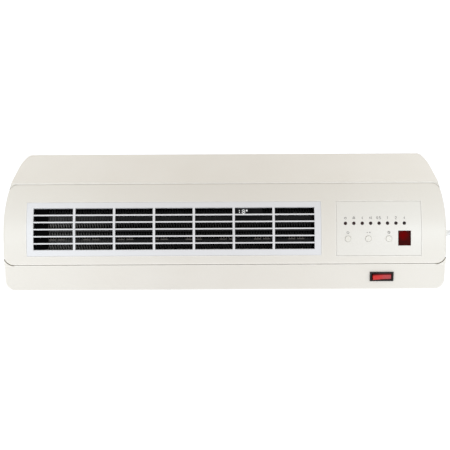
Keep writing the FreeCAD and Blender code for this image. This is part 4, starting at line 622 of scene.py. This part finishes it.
FINISHES: dict[str, Finish] = {
    # The case's wide, full edge lightening is a painted highlight along its crease and seams
    "case_ivory": Moulded(
        IVORY, IVORY_SHADE, IVORY_PAINTED_HIGHLIGHT, roughness=0.40, dust=0.04, edge_radius=0.0002, wear_and_highlight_radius=0.0032,
        wear_and_highlight=1.0),
    "grille_white": Moulded(
        (0.785, 0.785, 0.795), (0.77, 0.77, 0.78), (0.85, 0.85, 0.85), roughness=0.4, edge_radius=0.0004),
    "panel_ivory": Moulded(
        (0.812, 0.788, 0.732), (0.80, 0.775, 0.718), IVORY_EDGE, roughness=0.38, grain_depth=0.00001),
    "button_ivory": Moulded(
        (0.80, 0.77, 0.70), (0.78, 0.752, 0.68), IVORY_EDGE, roughness=0.3, edge_radius=0.0004),
    "lens_dark": Tinted(
        (0.03, 0.004, 0.004), (0.008, 0.002, 0.002), (0.14, -0.05, 0.1), 0.1, coat=0.1, gloss=0.3),
    "window_red": Tinted(
        (0.165, 0.001, 0.0015), (0.046, 0.006, 0.0055), (0.2290, -0.0576, 0.0725), 0.0085, roughness=0.3,
        coat=0.0, gloss=0.0),
    "switch_black": Moulded(
        (0.014, 0.010, 0.009), (0.017, 0.012, 0.011), (0.05, 0.042, 0.04), roughness=0.45, dust=0.0,
        edge_radius=0.0004, gloss=0.25),
    # The rocker's pinkish deep tone is a painted reflection, its dark top a painted shadow of the bezel
    "rocker_red": Tinted(
        (0.67, 0.022, 0.014), (0.46, 0.09, 0.10), (0.1888, -0.056, 0.0180), 0.028, dim=(0.12, 0.004, 0.004),
        shadow_above=0.0200, roughness=0.3, coat=0.0, gloss=0.1),
    "circuit_board": CircuitBoard(),
    "component_black": Moulded(
        (0.006, 0.006, 0.0065), (0.009, 0.009, 0.0095), (0.03, 0.03, 0.03), roughness=0.6, dust=0.0,
        gloss=0.15),
    "terminal_green": Moulded((0.03, 0.16, 0.07), (0.025, 0.13, 0.06), (0.1, 0.3, 0.18), roughness=0.4),
    "display_lit": Lit((1.0, 1.0, 0.97), (0.8, 0.82, 0.84), 1.2),
    "screw_steel": Metal((0.56, 0.56, 0.58), (0.42, 0.42, 0.44), (0.8, 0.8, 0.8)),
    # Tubes and fins: tones far below bare aluminium, with painted shade along X and between the folds, near black
    # above a height
    "tube_metal": ShadeDarkenedMetal((0.05, 0.049, 0.047), (0.006, 0.006, 0.0065), fold_shade=0.9),
    "fin_metal": ShadeDarkenedMetal((0.17, 0.165, 0.158), (0.008, 0.008, 0.0085), fold_shade=0.75),
    "holder_black": Moulded(
        (0.0015, 0.0015, 0.0018), (0.002, 0.002, 0.0022), (0.01, 0.01, 0.01), roughness=0.7, dust=0.0,
        gloss=0.03),
    "tab_brass": Metal((0.66, 0.48, 0.19), (0.5, 0.35, 0.14), (0.8, 0.66, 0.36), streak=Streak.ALONG_X),
    "cutout_metal": Metal((0.55, 0.55, 0.55), (0.42, 0.42, 0.42), (0.75, 0.75, 0.75)),
    "duct_steel": Metal(
        (0.022, 0.022, 0.024), (0.03, 0.03, 0.032), (0.2, 0.2, 0.2), roughness=0.5, metallic=0.2,
        streak=Streak.ALONG_X, wear_and_highlight=0.3),
    "drum_dark": Moulded(
        (0.02, 0.02, 0.022), (0.028, 0.028, 0.03), (0.07, 0.07, 0.07), roughness=0.55, edge_radius=0.0003),
    # The dark gap tones of the stack and the winding are painted shade between the ridges
    "stack_steel": Ridged(
        (0.32, 0.32, 0.33), (0.08, 0.08, 0.085), (1.0, 0.0, 0.0), 320.0, waver=0.1, roughness=0.45),
    "rotor_metal": Metal((0.5, 0.5, 0.51), (0.4, 0.4, 0.41), (0.75, 0.75, 0.75), roughness=0.4),
    "winding_copper": Ridged((0.56, 0.20, 0.085), (0.16, 0.05, 0.02), (1.0, 0.0, 0.0), 300.0),
    "lead_sleeve": Moulded((0.36, 0.02, 0.014), (0.3, 0.016, 0.012), (0.5, 0.06, 0.05), roughness=0.5),
    "cord_white": Moulded(
        (0.85, 0.85, 0.84), (0.82, 0.82, 0.81), (0.88, 0.88, 0.87), roughness=0.48, mottle=60.0,
        grain_depth=0.00003, dust=0.1),
    # The scene's own
    "mark_ink": Moulded(
        (0.09, 0.088, 0.086), (0.13, 0.128, 0.125), (0.2, 0.2, 0.2), roughness=0.6, edge_radius=0.0001,
        dust=0.0, grain_depth=0.000004),
    "floor_paper": GlowingPaper((0.10, 0.10, 0.10), (0.12, 0.12, 0.12), (0.968, 0.992, 1.035), 1.12),
}
SKY_TONE: Colour = (1.0, 0.982, 0.958)
BACKDROP_TONE: Colour = (1.0, 1.0, 1.0)


def stand(name: str, data: ID) -> Object:
    """Makes an object and links it to the scene.

    Args:
        name: Name of the object.
        data: Its mesh, curve, light or camera.

    Returns:
        The object.
    """
    made = bpy.data.objects.new(name, data)
    bpy.context.scene.collection.objects.link(made)
    return made


def mesh_piece(name: str, points: np.ndarray, faces: list[list[int]]) -> Object:
    """Makes a smooth mesh object at the origin.

    Args:
        name: Name of the piece.
        points: Array of points, shape (n, 3), in metres.
        faces: Corners of each face, as point numbers.

    Returns:
        The object, linked to the scene.
    """
    mesh = bpy.data.meshes.new(name)
    mesh.from_pydata(points.tolist(), [], faces)
    mesh.polygons.foreach_set("use_smooth", np.ones(len(mesh.polygons), dtype=bool))
    mesh.update()
    return stand(name, mesh)


def points_at(x: np.ndarray, y: np.ndarray, z: np.ndarray) -> np.ndarray:
    """Points from their parts, which are first stretched to one shape."""
    return np.stack(np.broadcast_arrays(x, y, z), axis=-1)


def full_turn(count: int) -> np.ndarray:
    """Angles evenly round a full turn."""
    return np.linspace(0.0, 2 * math.pi, count, endpoint=False)


def leftward(path: np.ndarray, closed: bool) -> np.ndarray:
    """Unit vectors to the left of a flat path, square to the line between each point's neighbours.

    Args:
        path: Array of points, shape (n, 2).
        closed: Whether the path closes on itself.

    Returns:
        Array of vectors, shape (n, 2).
    """
    if closed:
        forward = np.roll(path, -1, axis=0) - np.roll(path, 1, axis=0)
    else:
        forward = np.gradient(path, axis=0)
    forward /= np.linalg.norm(forward, axis=1)[:, None]
    return np.column_stack([-forward[:, 1], forward[:, 0]])


def tube(rings: np.ndarray, looped: bool = False) -> Skin:
    """Skin over closed rings of points: four-cornered faces between neighbours, and a flat face on each end.

    A ring runs right-handed about the path, so the faces look outwards.

    Args:
        rings: Array of shape (path steps, points per ring, 3).
        looped: Whether the last ring joins the first one, which leaves no ends.

    Returns:
        The points as one array, and the faces.
    """
    steps, around, _ = rings.shape
    spans = steps if looped else steps - 1
    first = (np.arange(spans) * around)[:, None]
    second = (np.arange(1, spans + 1) % steps * around)[:, None]
    here = np.arange(around)[None, :]
    following = (here + 1) % around
    quads = np.stack([first + here, first + following, second + following, second + here], axis=-1)
    faces = quads.reshape(-1, 4).tolist()
    if not looped:
        faces.append(np.arange(around)[::-1].tolist())
        faces.append((np.arange(around) + (steps - 1) * around).tolist())
    return rings.reshape(-1, 3), faces


def dress(piece: Object, material: Material) -> None:
    """Gives a piece one material."""
    piece.data.materials.clear()
    piece.data.materials.append(material)


class Wardrobe:
    """Materials by slot, each made when it is first asked for."""

    def __init__(self) -> None:
        """Builds the shared effects."""
        self.effects = Effects()
        self._made: dict[str, Material] = {}

    def material(self, slot: str) -> Material:
        """Material of a slot.

        Args:
            slot: Name of the finish: a slot of the record, or one of the scene's own.

        Returns:
            The material.
        """
        if slot not in self._made:
            self._made[slot] = FINISHES[slot].make(slot, self.effects)
        return self._made[slot]


@dataclass
class Assembly:
    """Base of what the scene builds, with the source of its materials."""

    wardrobe: Wardrobe

    def build(self) -> list[Object]:
        """Builds the objects and returns them; each assembly has its own way."""
        raise NotImplementedError


def squared(cosine: np.ndarray, sine: np.ndarray, power: float | np.ndarray) -> np.ndarray:
    """Factor that carries the unit circle on to a superellipse of a power: (|cos|^p + |sin|^p)^(-1/p)."""
    return (np.abs(cosine) ** power + np.abs(sine) ** power) ** (-1 / power)


@dataclass(frozen=True)
class Ridges:
    """Grooves across a plug's skin, which fade out away from their middle. Sizes in metres."""

    middle: float
    half: float
    pitch: float
    depth: float

    def dip(self, along: np.ndarray) -> np.ndarray:
        """Depth at each place: a cosine wave's positive half times exp(-(distance / half)^4)."""
        wave = np.clip(np.cos(2 * math.pi * along / self.pitch), 0.0, 1.0)
        return self.depth * (np.exp(-((along - self.middle) / self.half) ** 4) * wave)


@dataclass
class MainsCord(Assembly):
    """Mains lead with its strain relief, coil, tie and plug. All sizes in metres."""

    diameter: float = 0.0062
    length: float = 1.6597
    exit: Point = (0.3077, 0.0, 0.060)
    lead: tuple[Point, ...] = (
        (0.3077, 0.0, 0.060), (0.348, 0.0, 0.060), (0.381, 0.0, 0.0047), (0.4213, 0.0, 0.0047))
    lead_smoothness: int = 4
    coil_axis: float = 0.4275
    coil_inner: float = 0.0252
    coil_step: float = 0.0039
    layer_rise: float = 0.0078
    half_turns: int = 6
    points_per_half: int = 12
    far_end: float = 0.3795
    relief_profile: tuple[Pair, ...] = (
        (0.2787, 0.0071), (0.2791, 0.0074), (0.2819, 0.0074), (0.2822, 0.0071), (0.2823, 0.0044),
        (0.2860, 0.0044))
    relief_tip: Pair = (0.3077, 0.0037)
    relief_ribs: int = 7
    rib_depth: float = 0.00055
    rib_fade: float = 12.0
    tie_middle: Point = (0.39295, -0.0486, 0.0086)
    tie_half: Pair = (0.0123, 0.0080)
    tie_width: float = 0.009
    tie_thick: float = 0.0012
    tie_power: int = 7
    # Powers that flatten the band's profile, across it and through it
    tie_flatness: Pair = (0.35, 0.6)
    plug_middle: Pair = (-0.0972, 0.0125)
    plug_grip: Ridges = Ridges(0.3480, 0.0075, 0.0025, 0.0007)
    plug_tail: Ridges = Ridges(0.3710, 0.0055, 0.0030, 0.0005)
    # Place along X, half width, half height and power of each section
    plug_stations: tuple[tuple[float, float, float, float], ...] = (
        (0.3815, 0.0043, 0.0043, 2.0), (0.3780, 0.0047, 0.0047, 2.0), (0.3640, 0.0070, 0.0066, 2.0),
        (0.3585, 0.0125, 0.0100, 2.6), (0.3540, 0.0155, 0.0116, 3.4), (0.3440, 0.0160, 0.0118, 4.0),
        (0.3350, 0.0168, 0.0123, 4.6), (0.3305, 0.0169, 0.0124, 5.0), (0.3295, 0.0162, 0.0117, 5.0))
    # Steps along each form and points round it
    relief_mesh: tuple[int, int] = (141, 40)
    tie_mesh: tuple[int, int] = (96, 20)
    plug_mesh: tuple[int, int] = (161, 64)

    def coil_points(self) -> np.ndarray:
        """Control points of the coil: corners of the polygon that touches each half turn from outside.

        Half turn k runs about the middle between its two ends; its corner j stands at the angle (j + 1/2) d, with d
        the step, at the half turn's radius over cos(d / 2). The middle half turn climbs a layer by (1 - cos) / 2.

        Returns:
            Array of points, shape (half turns times points per half, 3).
        """
        inward = self.coil_inner + self.coil_step * np.arange(self.half_turns, -1, -1)
        radii = np.concatenate([inward, inward[::-1]])
        spans = radii[:-1] + radii[1:]
        signs = np.where(np.arange(len(spans)) % 2, 1.0, -1.0)
        ends = np.concatenate([[0.0], np.cumsum(signs * spans)])
        middles = (ends[:-1] + ends[1:]) / 2
        climb = np.zeros(len(spans))
        climb[self.half_turns] = self.layer_rise
        floor = self.lead[-1][2] + np.concatenate([[0.0], np.cumsum(climb)])[:-1]
        step = math.pi / self.points_per_half
        angle = (np.arange(self.points_per_half) + 0.5) * step
        out = (spans / 2 / math.cos(step / 2))[:, None]
        x = self.coil_axis - signs[:, None] * out * np.sin(angle)
        y = middles[:, None] - signs[:, None] * out * np.cos(angle)
        z = floor[:, None] + climb[:, None] * (1 - np.cos(angle)) / 2
        return points_at(x, y, z).reshape(-1, 3)

    def route(self) -> np.ndarray:
        """Control points of the whole lead: down to the floor, through the coil and into the plug.

        Returns:
            Array of points, shape (n, 3).
        """
        coil = self.coil_points()
        last = coil[-1] * (-1.0, 1.0, 1.0) + (2 * self.coil_axis, 0.0, 0.0)
        end = np.array([self.far_end, last[1], last[2]])
        return np.concatenate([np.array(self.lead), coil, [last, end]])

    def build_lead(self) -> Object:
        """The lead as one smooth curve of second degree with a round bevel.

        Returns:
            The curve object.
        """
        points = self.route()
        curve = bpy.data.curves.new("mains_lead", "CURVE")
        curve.dimensions = "3D"
        curve.bevel_depth = self.diameter / 2
        curve.bevel_resolution = curve.resolution_u = curve.render_resolution_u = self.lead_smoothness
        curve.use_fill_caps = True
        spline = curve.splines.new("NURBS")
        spline.points.add(len(points) - 1)
        spline.points.foreach_set("co", np.column_stack([points, np.ones(len(points))]).ravel())
        spline.order_u = 3
        spline.use_endpoint_u = True
        return stand("mains_lead", curve)

    def build_relief(self) -> Object:
        """Strain relief: a profile of radius over X turned about the lead's axis.

        Past the neck the radius tapers to the tip, and a row of ribs lowers it by the rib depth times the cube root
        of a cosine wave's positive half.

        Returns:
            The piece.
        """
        head = np.array(self.relief_profile)
        along = np.linspace(head[-1, 0], self.relief_tip[0], self.relief_mesh[0])[1:]
        share = (along - head[-1, 0]) / (self.relief_tip[0] - head[-1, 0])
        taper = head[-1, 1] + (self.relief_tip[1] - head[-1, 1]) * share
        wave = np.clip(np.cos(2 * math.pi * self.relief_ribs * share + math.pi), 0.0, 1.0)
        inside = np.clip(np.minimum(share, 1 - share) * self.rib_fade, 0.0, 1.0)
        ribbed = taper - self.rib_depth * np.cbrt(wave) * inside
        profile = np.concatenate([head, np.column_stack([along, ribbed])])
        angle = full_turn(self.relief_mesh[1])
        rings = points_at(profile[:, :1], self.exit[1] + profile[:, 1:] * np.cos(angle),
                          self.exit[2] + profile[:, 1:] * np.sin(angle))
        return mesh_piece("strain_relief_ribbed", *tube(rings))

    def build_tie(self) -> Object:
        """Tie round the bundle: a flat oval profile carried round a rounded rectangle (a superellipse).

        Returns:
            The piece.
        """
        turn = full_turn(self.tie_mesh[0])
        middle_x, middle_y, middle_z = self.tie_middle
        lean = np.stack([np.cos(turn), np.sin(turn)], axis=-1)
        path = lean * squared(lean[:, 0], lean[:, 1], self.tie_power)[:, None] * np.array(self.tie_half)
        outward = -leftward(path, closed=True)
        section = full_turn(self.tie_mesh[1])
        across, thick = np.cos(section), np.sin(section)
        across = np.copysign(np.abs(across) ** self.tie_flatness[0], across) * self.tie_width / 2
        thick = np.copysign(np.abs(thick) ** self.tie_flatness[1], thick) * self.tie_thick / 2
        flat = path[:, None, :] + outward[:, None, :] * thick[None, :, None]
        rings = points_at(middle_x + flat[..., 0], middle_y + across[None, :], middle_z + flat[..., 1])
        return mesh_piece("coil_tie_band", *tube(rings, looped=True))

    def build_plug(self) -> Object:
        """Plug: superellipse sections along -X, from the tail over the grip to the flat pin face.

        Half width, half height and power follow the stations, smoothed by cubic easing between them; ridges across
        the grip and the tail lower the sizes.

        Returns:
            The piece.
        """
        stations = np.array(self.plug_stations)
        spot = np.linspace(0.0, len(stations) - 1.0, self.plug_mesh[0])
        left = np.minimum(spot.astype(int), len(stations) - 2)
        share = spot - left
        eased = np.column_stack([share, *([share * share * (3 - 2 * share)] * 3)])
        along, wide, high, power = (stations[left] * (1 - eased) + stations[left + 1] * eased).T
        tail = self.plug_tail.dip(along)
        wide = wide - self.plug_grip.dip(along) - tail
        high = high - tail
        angle = -full_turn(self.plug_mesh[1])
        lean_y, lean_z = np.cos(angle)[None, :], np.sin(angle)[None, :]
        size = squared(lean_y, lean_z, power[:, None])
        middle_y, middle_z = self.plug_middle
        rings = points_at(along[:, None], middle_y + wide[:, None] * size * lean_y,
                          middle_z + high[:, None] * size * lean_z)
        return mesh_piece("plug_shell", *tube(rings))

    def build(self) -> list[Object]:
        """Builds and dresses the lead and what is on it.

        Returns:
            The pieces.
        """
        lead, relief, tie, plug = self.build_lead(), self.build_relief(), self.build_tie(), self.build_plug()
        stood_for = {lead: ("mains_cord", "cord_coil"), relief: ("strain_relief",), tie: ("coil_tie",),
                     plug: ("plug_body",)}
        for piece, nodes in stood_for.items():
            dress(piece, self.wardrobe.material("cord_white"))
            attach(piece, Body.CASE.value)
            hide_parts(*nodes)
        return list(stood_for)


@dataclass(eq=False)
class Stroke:
    """One pen stroke of a mark, as points in a box one high, and whether it closes on itself."""

    points: np.ndarray
    closed: bool = False


def ellipse(middle: Pair, half: Pair, start: float, end: float, count: int = 24) -> np.ndarray:
    """Points on an ellipse between two angles in degrees: middle plus half sizes times cosine and sine."""
    angle = np.radians(np.linspace(start, end, count))
    return np.column_stack([middle[0] + half[0] * np.cos(angle), middle[1] + half[1] * np.sin(angle)])


def loop(middle: Pair, half: Pair, count: int = 24) -> Stroke:
    """Closed ellipse as a stroke."""
    return Stroke(ellipse(middle, half, 0.0, 360.0 - 360.0 / count, count), closed=True)


def line(*corners: Pair) -> Stroke:
    """Open stroke through corners."""
    return Stroke(np.array(corners, dtype=float))


def wave(middle: float) -> Stroke:
    """Upright wave: the side step is a sine of one and a half turns over the height."""
    rise = np.linspace(0.0, 1.0, 19)
    return Stroke(np.column_stack([middle + 0.14 * np.sin(3 * math.pi * rise), rise - 0.5]))


def propeller() -> Stroke:
    """Three blades as one outline: the radius swings with |cos(1.5 t)|.

    Returns:
        The stroke.
    """
    turn = np.radians(np.linspace(0.0, 360.0, 60, endpoint=False))
    radius = 0.16 + 0.36 * np.abs(np.cos(1.5 * (turn - math.pi / 2)))
    return Stroke(np.column_stack([radius * np.cos(turn), radius * np.sin(turn)]), closed=True)


def five(middle: float) -> Stroke:
    """The figure five: flag and stem, then the bowl."""
    bowl = ellipse((0.0, -0.18), (0.3, 0.32), 115.0, -145.0, 14)
    return Stroke(np.concatenate([[[0.28, 0.5], [-0.22, 0.5], [-0.26, 0.06]], bowl]) + (middle, 0.0))


def two() -> Stroke:
    """The figure two: the hook, then the foot."""
    hook = ellipse((0.0, 0.22), (0.28, 0.28), 170.0, -35.0, 12)
    return Stroke(np.concatenate([hook, [[-0.3, -0.5], [0.32, -0.5]]]))


class Sign(Enum):
    """Marks printed on the panel: the strokes of each, about its middle."""

    POWER = (Stroke(ellipse((0.0, -0.05), (0.42, 0.42), 125.0, 415.0)), line((0.0, 0.0), (0.0, 0.5)))
    FAN = (propeller(),)
    LOW_HEAT = (wave(0.0),)
    HIGH_HEAT = (wave(-0.3), wave(0.3))
    HALF = (loop((-0.7, 0.0), (0.28, 0.46)), line((-0.2, -0.42), (-0.2, -0.5)), five(0.35))
    ONE = (line((-0.18, 0.3), (0.04, 0.5), (0.04, -0.5)),)
    TWO = (two(),)
    FOUR = (line((0.14, -0.5), (0.14, 0.5), (-0.34, -0.18), (0.36, -0.18)),)
    CYCLE = (Stroke(ellipse((0.0, 0.0), (0.42, 0.42), 60.0, 350.0)), line((0.22, -0.2), (0.42, 0.02), (0.6, -0.2)))
    STEP = (line((-0.75, 0.0), (-0.25, 0.0)), line((0.25, 0.0), (0.85, 0.0)), line((0.55, -0.3), (0.55, 0.3)))
    CLOCK = (loop((0.0, 0.0), (0.46, 0.46)), line((0.0, 0.3), (0.0, 0.0), (0.2, -0.12)))


@dataclass
class PanelMarks(Assembly):
    """Marks beside the lights and buttons, printed on the bowed panel. Sizes in metres."""

    bow_axis: Pair = (0.0875, 0.0356)
    bow_radius: float = 0.150
    panel_radius: float = 0.1497
    light_first: float = 0.1550
    light_pitch: float = 0.0108
    light_label_rise: float = 0.0602
    button_first: float = 0.1581
    button_pitch: float = 0.0263
    button_label_rise: float = 0.0413
    height: float = 0.0032
    pen: float = 0.00050
    raised: float = 0.00004
    sunk: float = 0.00006

    def bent(self, x: np.ndarray, rise: np.ndarray, proud: np.ndarray) -> np.ndarray:
        """Carries flat places on to the bowed panel.

        A place at a rise along the bow stands at the angle rise over radius; the point is the bow's axis plus the
        panel's radius and the proud height along that angle.

        Args:
            x: Places along the case.
            rise: Places along the bow.
            proud: Heights over the panel.

        Returns:
            Array of points with a last axis of three.
        """
        angle = rise / self.bow_radius
        out = self.panel_radius + proud
        back, up = self.bow_axis
        return points_at(x, back - out * np.cos(angle), up + out * np.sin(angle))

    def band(self, stroke: Stroke, x: float, rise: float) -> Skin:
        """Flat band along a stroke, with a profile of four corners.

        Args:
            stroke: The stroke, one unit high.
            x: Middle of the mark along the case.
            rise: Middle of the mark along the bow.

        Returns:
            Points and faces.
        """
        path = stroke.points * self.height + (x, rise)
        side = np.array([-0.5, 0.5, 0.5, -0.5]) * self.pen
        proud = np.array([-self.sunk, -self.sunk, self.raised, self.raised])
        flat = path[:, None, :] + leftward(path, stroke.closed)[:, None, :] * side[None, :, None]
        rings = self.bent(flat[..., 0], flat[..., 1], proud)
        return tube(rings, looped=stroke.closed)

    def build(self) -> list[Object]:
        """Prints all marks as one piece.

        Returns:
            The piece, in a list.
        """
        lights = (Sign.POWER, Sign.FAN, Sign.LOW_HEAT, Sign.HIGH_HEAT, Sign.HALF, Sign.ONE, Sign.TWO, Sign.FOUR)
        rows = ((lights, self.light_first, self.light_pitch, self.light_label_rise),
                ((Sign.CYCLE, Sign.STEP, Sign.CLOCK), self.button_first, self.button_pitch, self.button_label_rise))
        bands = [self.band(stroke, first + pitch * number, rise) for signs, first, pitch, rise in rows
                 for number, sign in enumerate(signs) for stroke in sign.value]
        starts = np.cumsum([0] + [len(points) for points, _ in bands])
        faces = [[corner + int(start) for corner in face]
                 for start, (_, found) in zip(starts, bands) for face in found]
        marks = mesh_piece("panel_marks", np.concatenate([points for points, _ in bands]), faces)
        dress(marks, self.wardrobe.material("mark_ink"))
        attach(marks, Body.CASE.value)
        return [marks]


class CadPieces(Assembly):
    """The pieces carried over from the CAD model, dressed by the record's slots."""

    def build(self) -> list[Object]:
        """Dresses every CAD node.

        Returns:
            The dressed objects.
        """
        dressed = []
        for row in frame["record"]["subparts"]:
            piece = frame["nodes"][row["node"]]
            dress(piece, self.wardrobe.material(row["material_slot"]))
            dressed.append(piece)
        return dressed


@dataclass(frozen=True)
class Softbox:
    """A square soft light: place, what it faces, side in metres, power in watts, tint and spread in degrees."""

    name: str
    place: Point
    faces: Point
    side: float
    power: float
    tint: Colour = (1.0, 1.0, 1.0)
    spread: float = 180.0

    def build(self) -> Object:
        """Makes the light.

        Returns:
            The light object.
        """
        lamp = bpy.data.lights.new(self.name, "AREA")
        lamp.shape = "SQUARE"
        lamp.size = self.side
        lamp.energy = self.power
        lamp.color = self.tint
        lamp.spread = math.radians(self.spread)
        made = stand(self.name, lamp)
        made.location = self.place
        made.rotation_euler = (Vector(self.faces) - Vector(self.place)).to_track_quat("-Z", "Y").to_euler()
        return made


@dataclass
class Studio(Assembly):
    """Floor, lights and camera. Sizes in metres, angles in degrees, lens and sensor in millimetres."""

    floor_half: float = 40.0
    camera_place: Point = (0.0003, -1.3082, 0.41406)
    camera_down: float = 14.64
    camera_roll: float = -0.28
    lens: float = 80.8
    sensor: float = 36.0
    sky: float = 0.78
    softboxes: tuple[Softbox, ...] = (
        Softbox("softbox_left", (-0.43, -0.85, 0.28), (-0.32, -0.03, 0.09), 0.25, 0.066, (0.80, 0.92, 1.0), 34.0),
        Softbox("softbox_right", (0.43, -0.85, 0.28), (0.32, -0.03, 0.09), 0.25, 0.066, (0.80, 0.92, 1.0), 34.0),
        Softbox("softbox_top_left", (-0.60, 0.45, 1.0), (-0.30, 0.02, 0.15), 0.4, 0.066, (0.94, 0.97, 1.0), 36.0),
        Softbox("softbox_top_right", (0.60, 0.45, 1.0), (0.30, 0.02, 0.15), 0.4, 0.085, (0.94, 0.97, 1.0), 36.0),
        Softbox("softbox_back", (0.0, 0.9, 1.2), (0.0, 0.03, 0.15), 0.9, 1.6),
    )

    def build_floor(self) -> Object:
        """Pale floor that fills the view.

        Returns:
            The floor.
        """
        corners = np.array([(-1.0, -1.0, 0.0), (1.0, -1.0, 0.0), (1.0, 1.0, 0.0), (-1.0, 1.0, 0.0)])
        floor = mesh_piece("floor", self.floor_half * corners, [[0, 1, 2, 3]])
        dress(floor, self.wardrobe.material("floor_paper"))
        return floor

    def build_camera(self) -> Object:
        """Camera at the height and tilt of the view: turned down from level, then rolled about its own axis.

        Returns:
            The camera object.
        """
        data = bpy.data.cameras.new("camera")
        data.sensor_width = self.sensor
        data.lens = self.lens
        camera = stand("camera", data)
        tilt = Matrix.Rotation(math.radians(90.0 - self.camera_down), 4, "X")
        roll = Matrix.Rotation(math.radians(self.camera_roll), 4, "Z")
        camera.matrix_world = Matrix.Translation(Vector(self.camera_place)) @ tilt @ roll
        bpy.context.scene.camera = camera
        return camera

    def build_sky(self) -> None:
        """Even pale light from all round before a white backdrop, and colours shown as they are."""
        scene = bpy.context.scene
        world = bpy.data.worlds.new("studio_sky")
        world.use_nodes = True
        wiring, nodes = Wiring(world.node_tree), world.node_tree.nodes
        light = nodes["Background"]
        wiring.feed(light.inputs["Color"], SKY_TONE)
        wiring.feed(light.inputs["Strength"], self.sky)
        backdrop = wiring.node("ShaderNodeBackground", {"Color": BACKDROP_TONE})
        camera_ray = wiring.node("ShaderNodeLightPath").outputs["Is Camera Ray"]
        seen = wiring.node("ShaderNodeMixShader", {0: camera_ray, 1: light.outputs[0], 2: backdrop.outputs[0]})
        wiring.feed(nodes["World Output"].inputs["Surface"], seen.outputs[0])
        scene.world = world
        scene.view_settings.view_transform = "Standard"
        scene.view_settings.look = "None"

    def build(self) -> list[Object]:
        """Builds sky, camera, floor and lights, and returns what stands in the scene."""
        self.build_sky()
        return [self.build_camera(), self.build_floor(), *(softbox.build() for softbox in self.softboxes)]


def main() -> None:
    """Builds the scene piece by piece and reports each one."""
    logging.basicConfig(level=logging.INFO, format="%(name)s: %(message)s")
    wardrobe = Wardrobe()
    for assembly in (Studio, MainsCord, CadPieces, PanelMarks):
        for thing in assembly(wardrobe).build():
            log.info("%s %s", thing.type.lower(), thing.name)


if __name__ == "__main__":
    main()
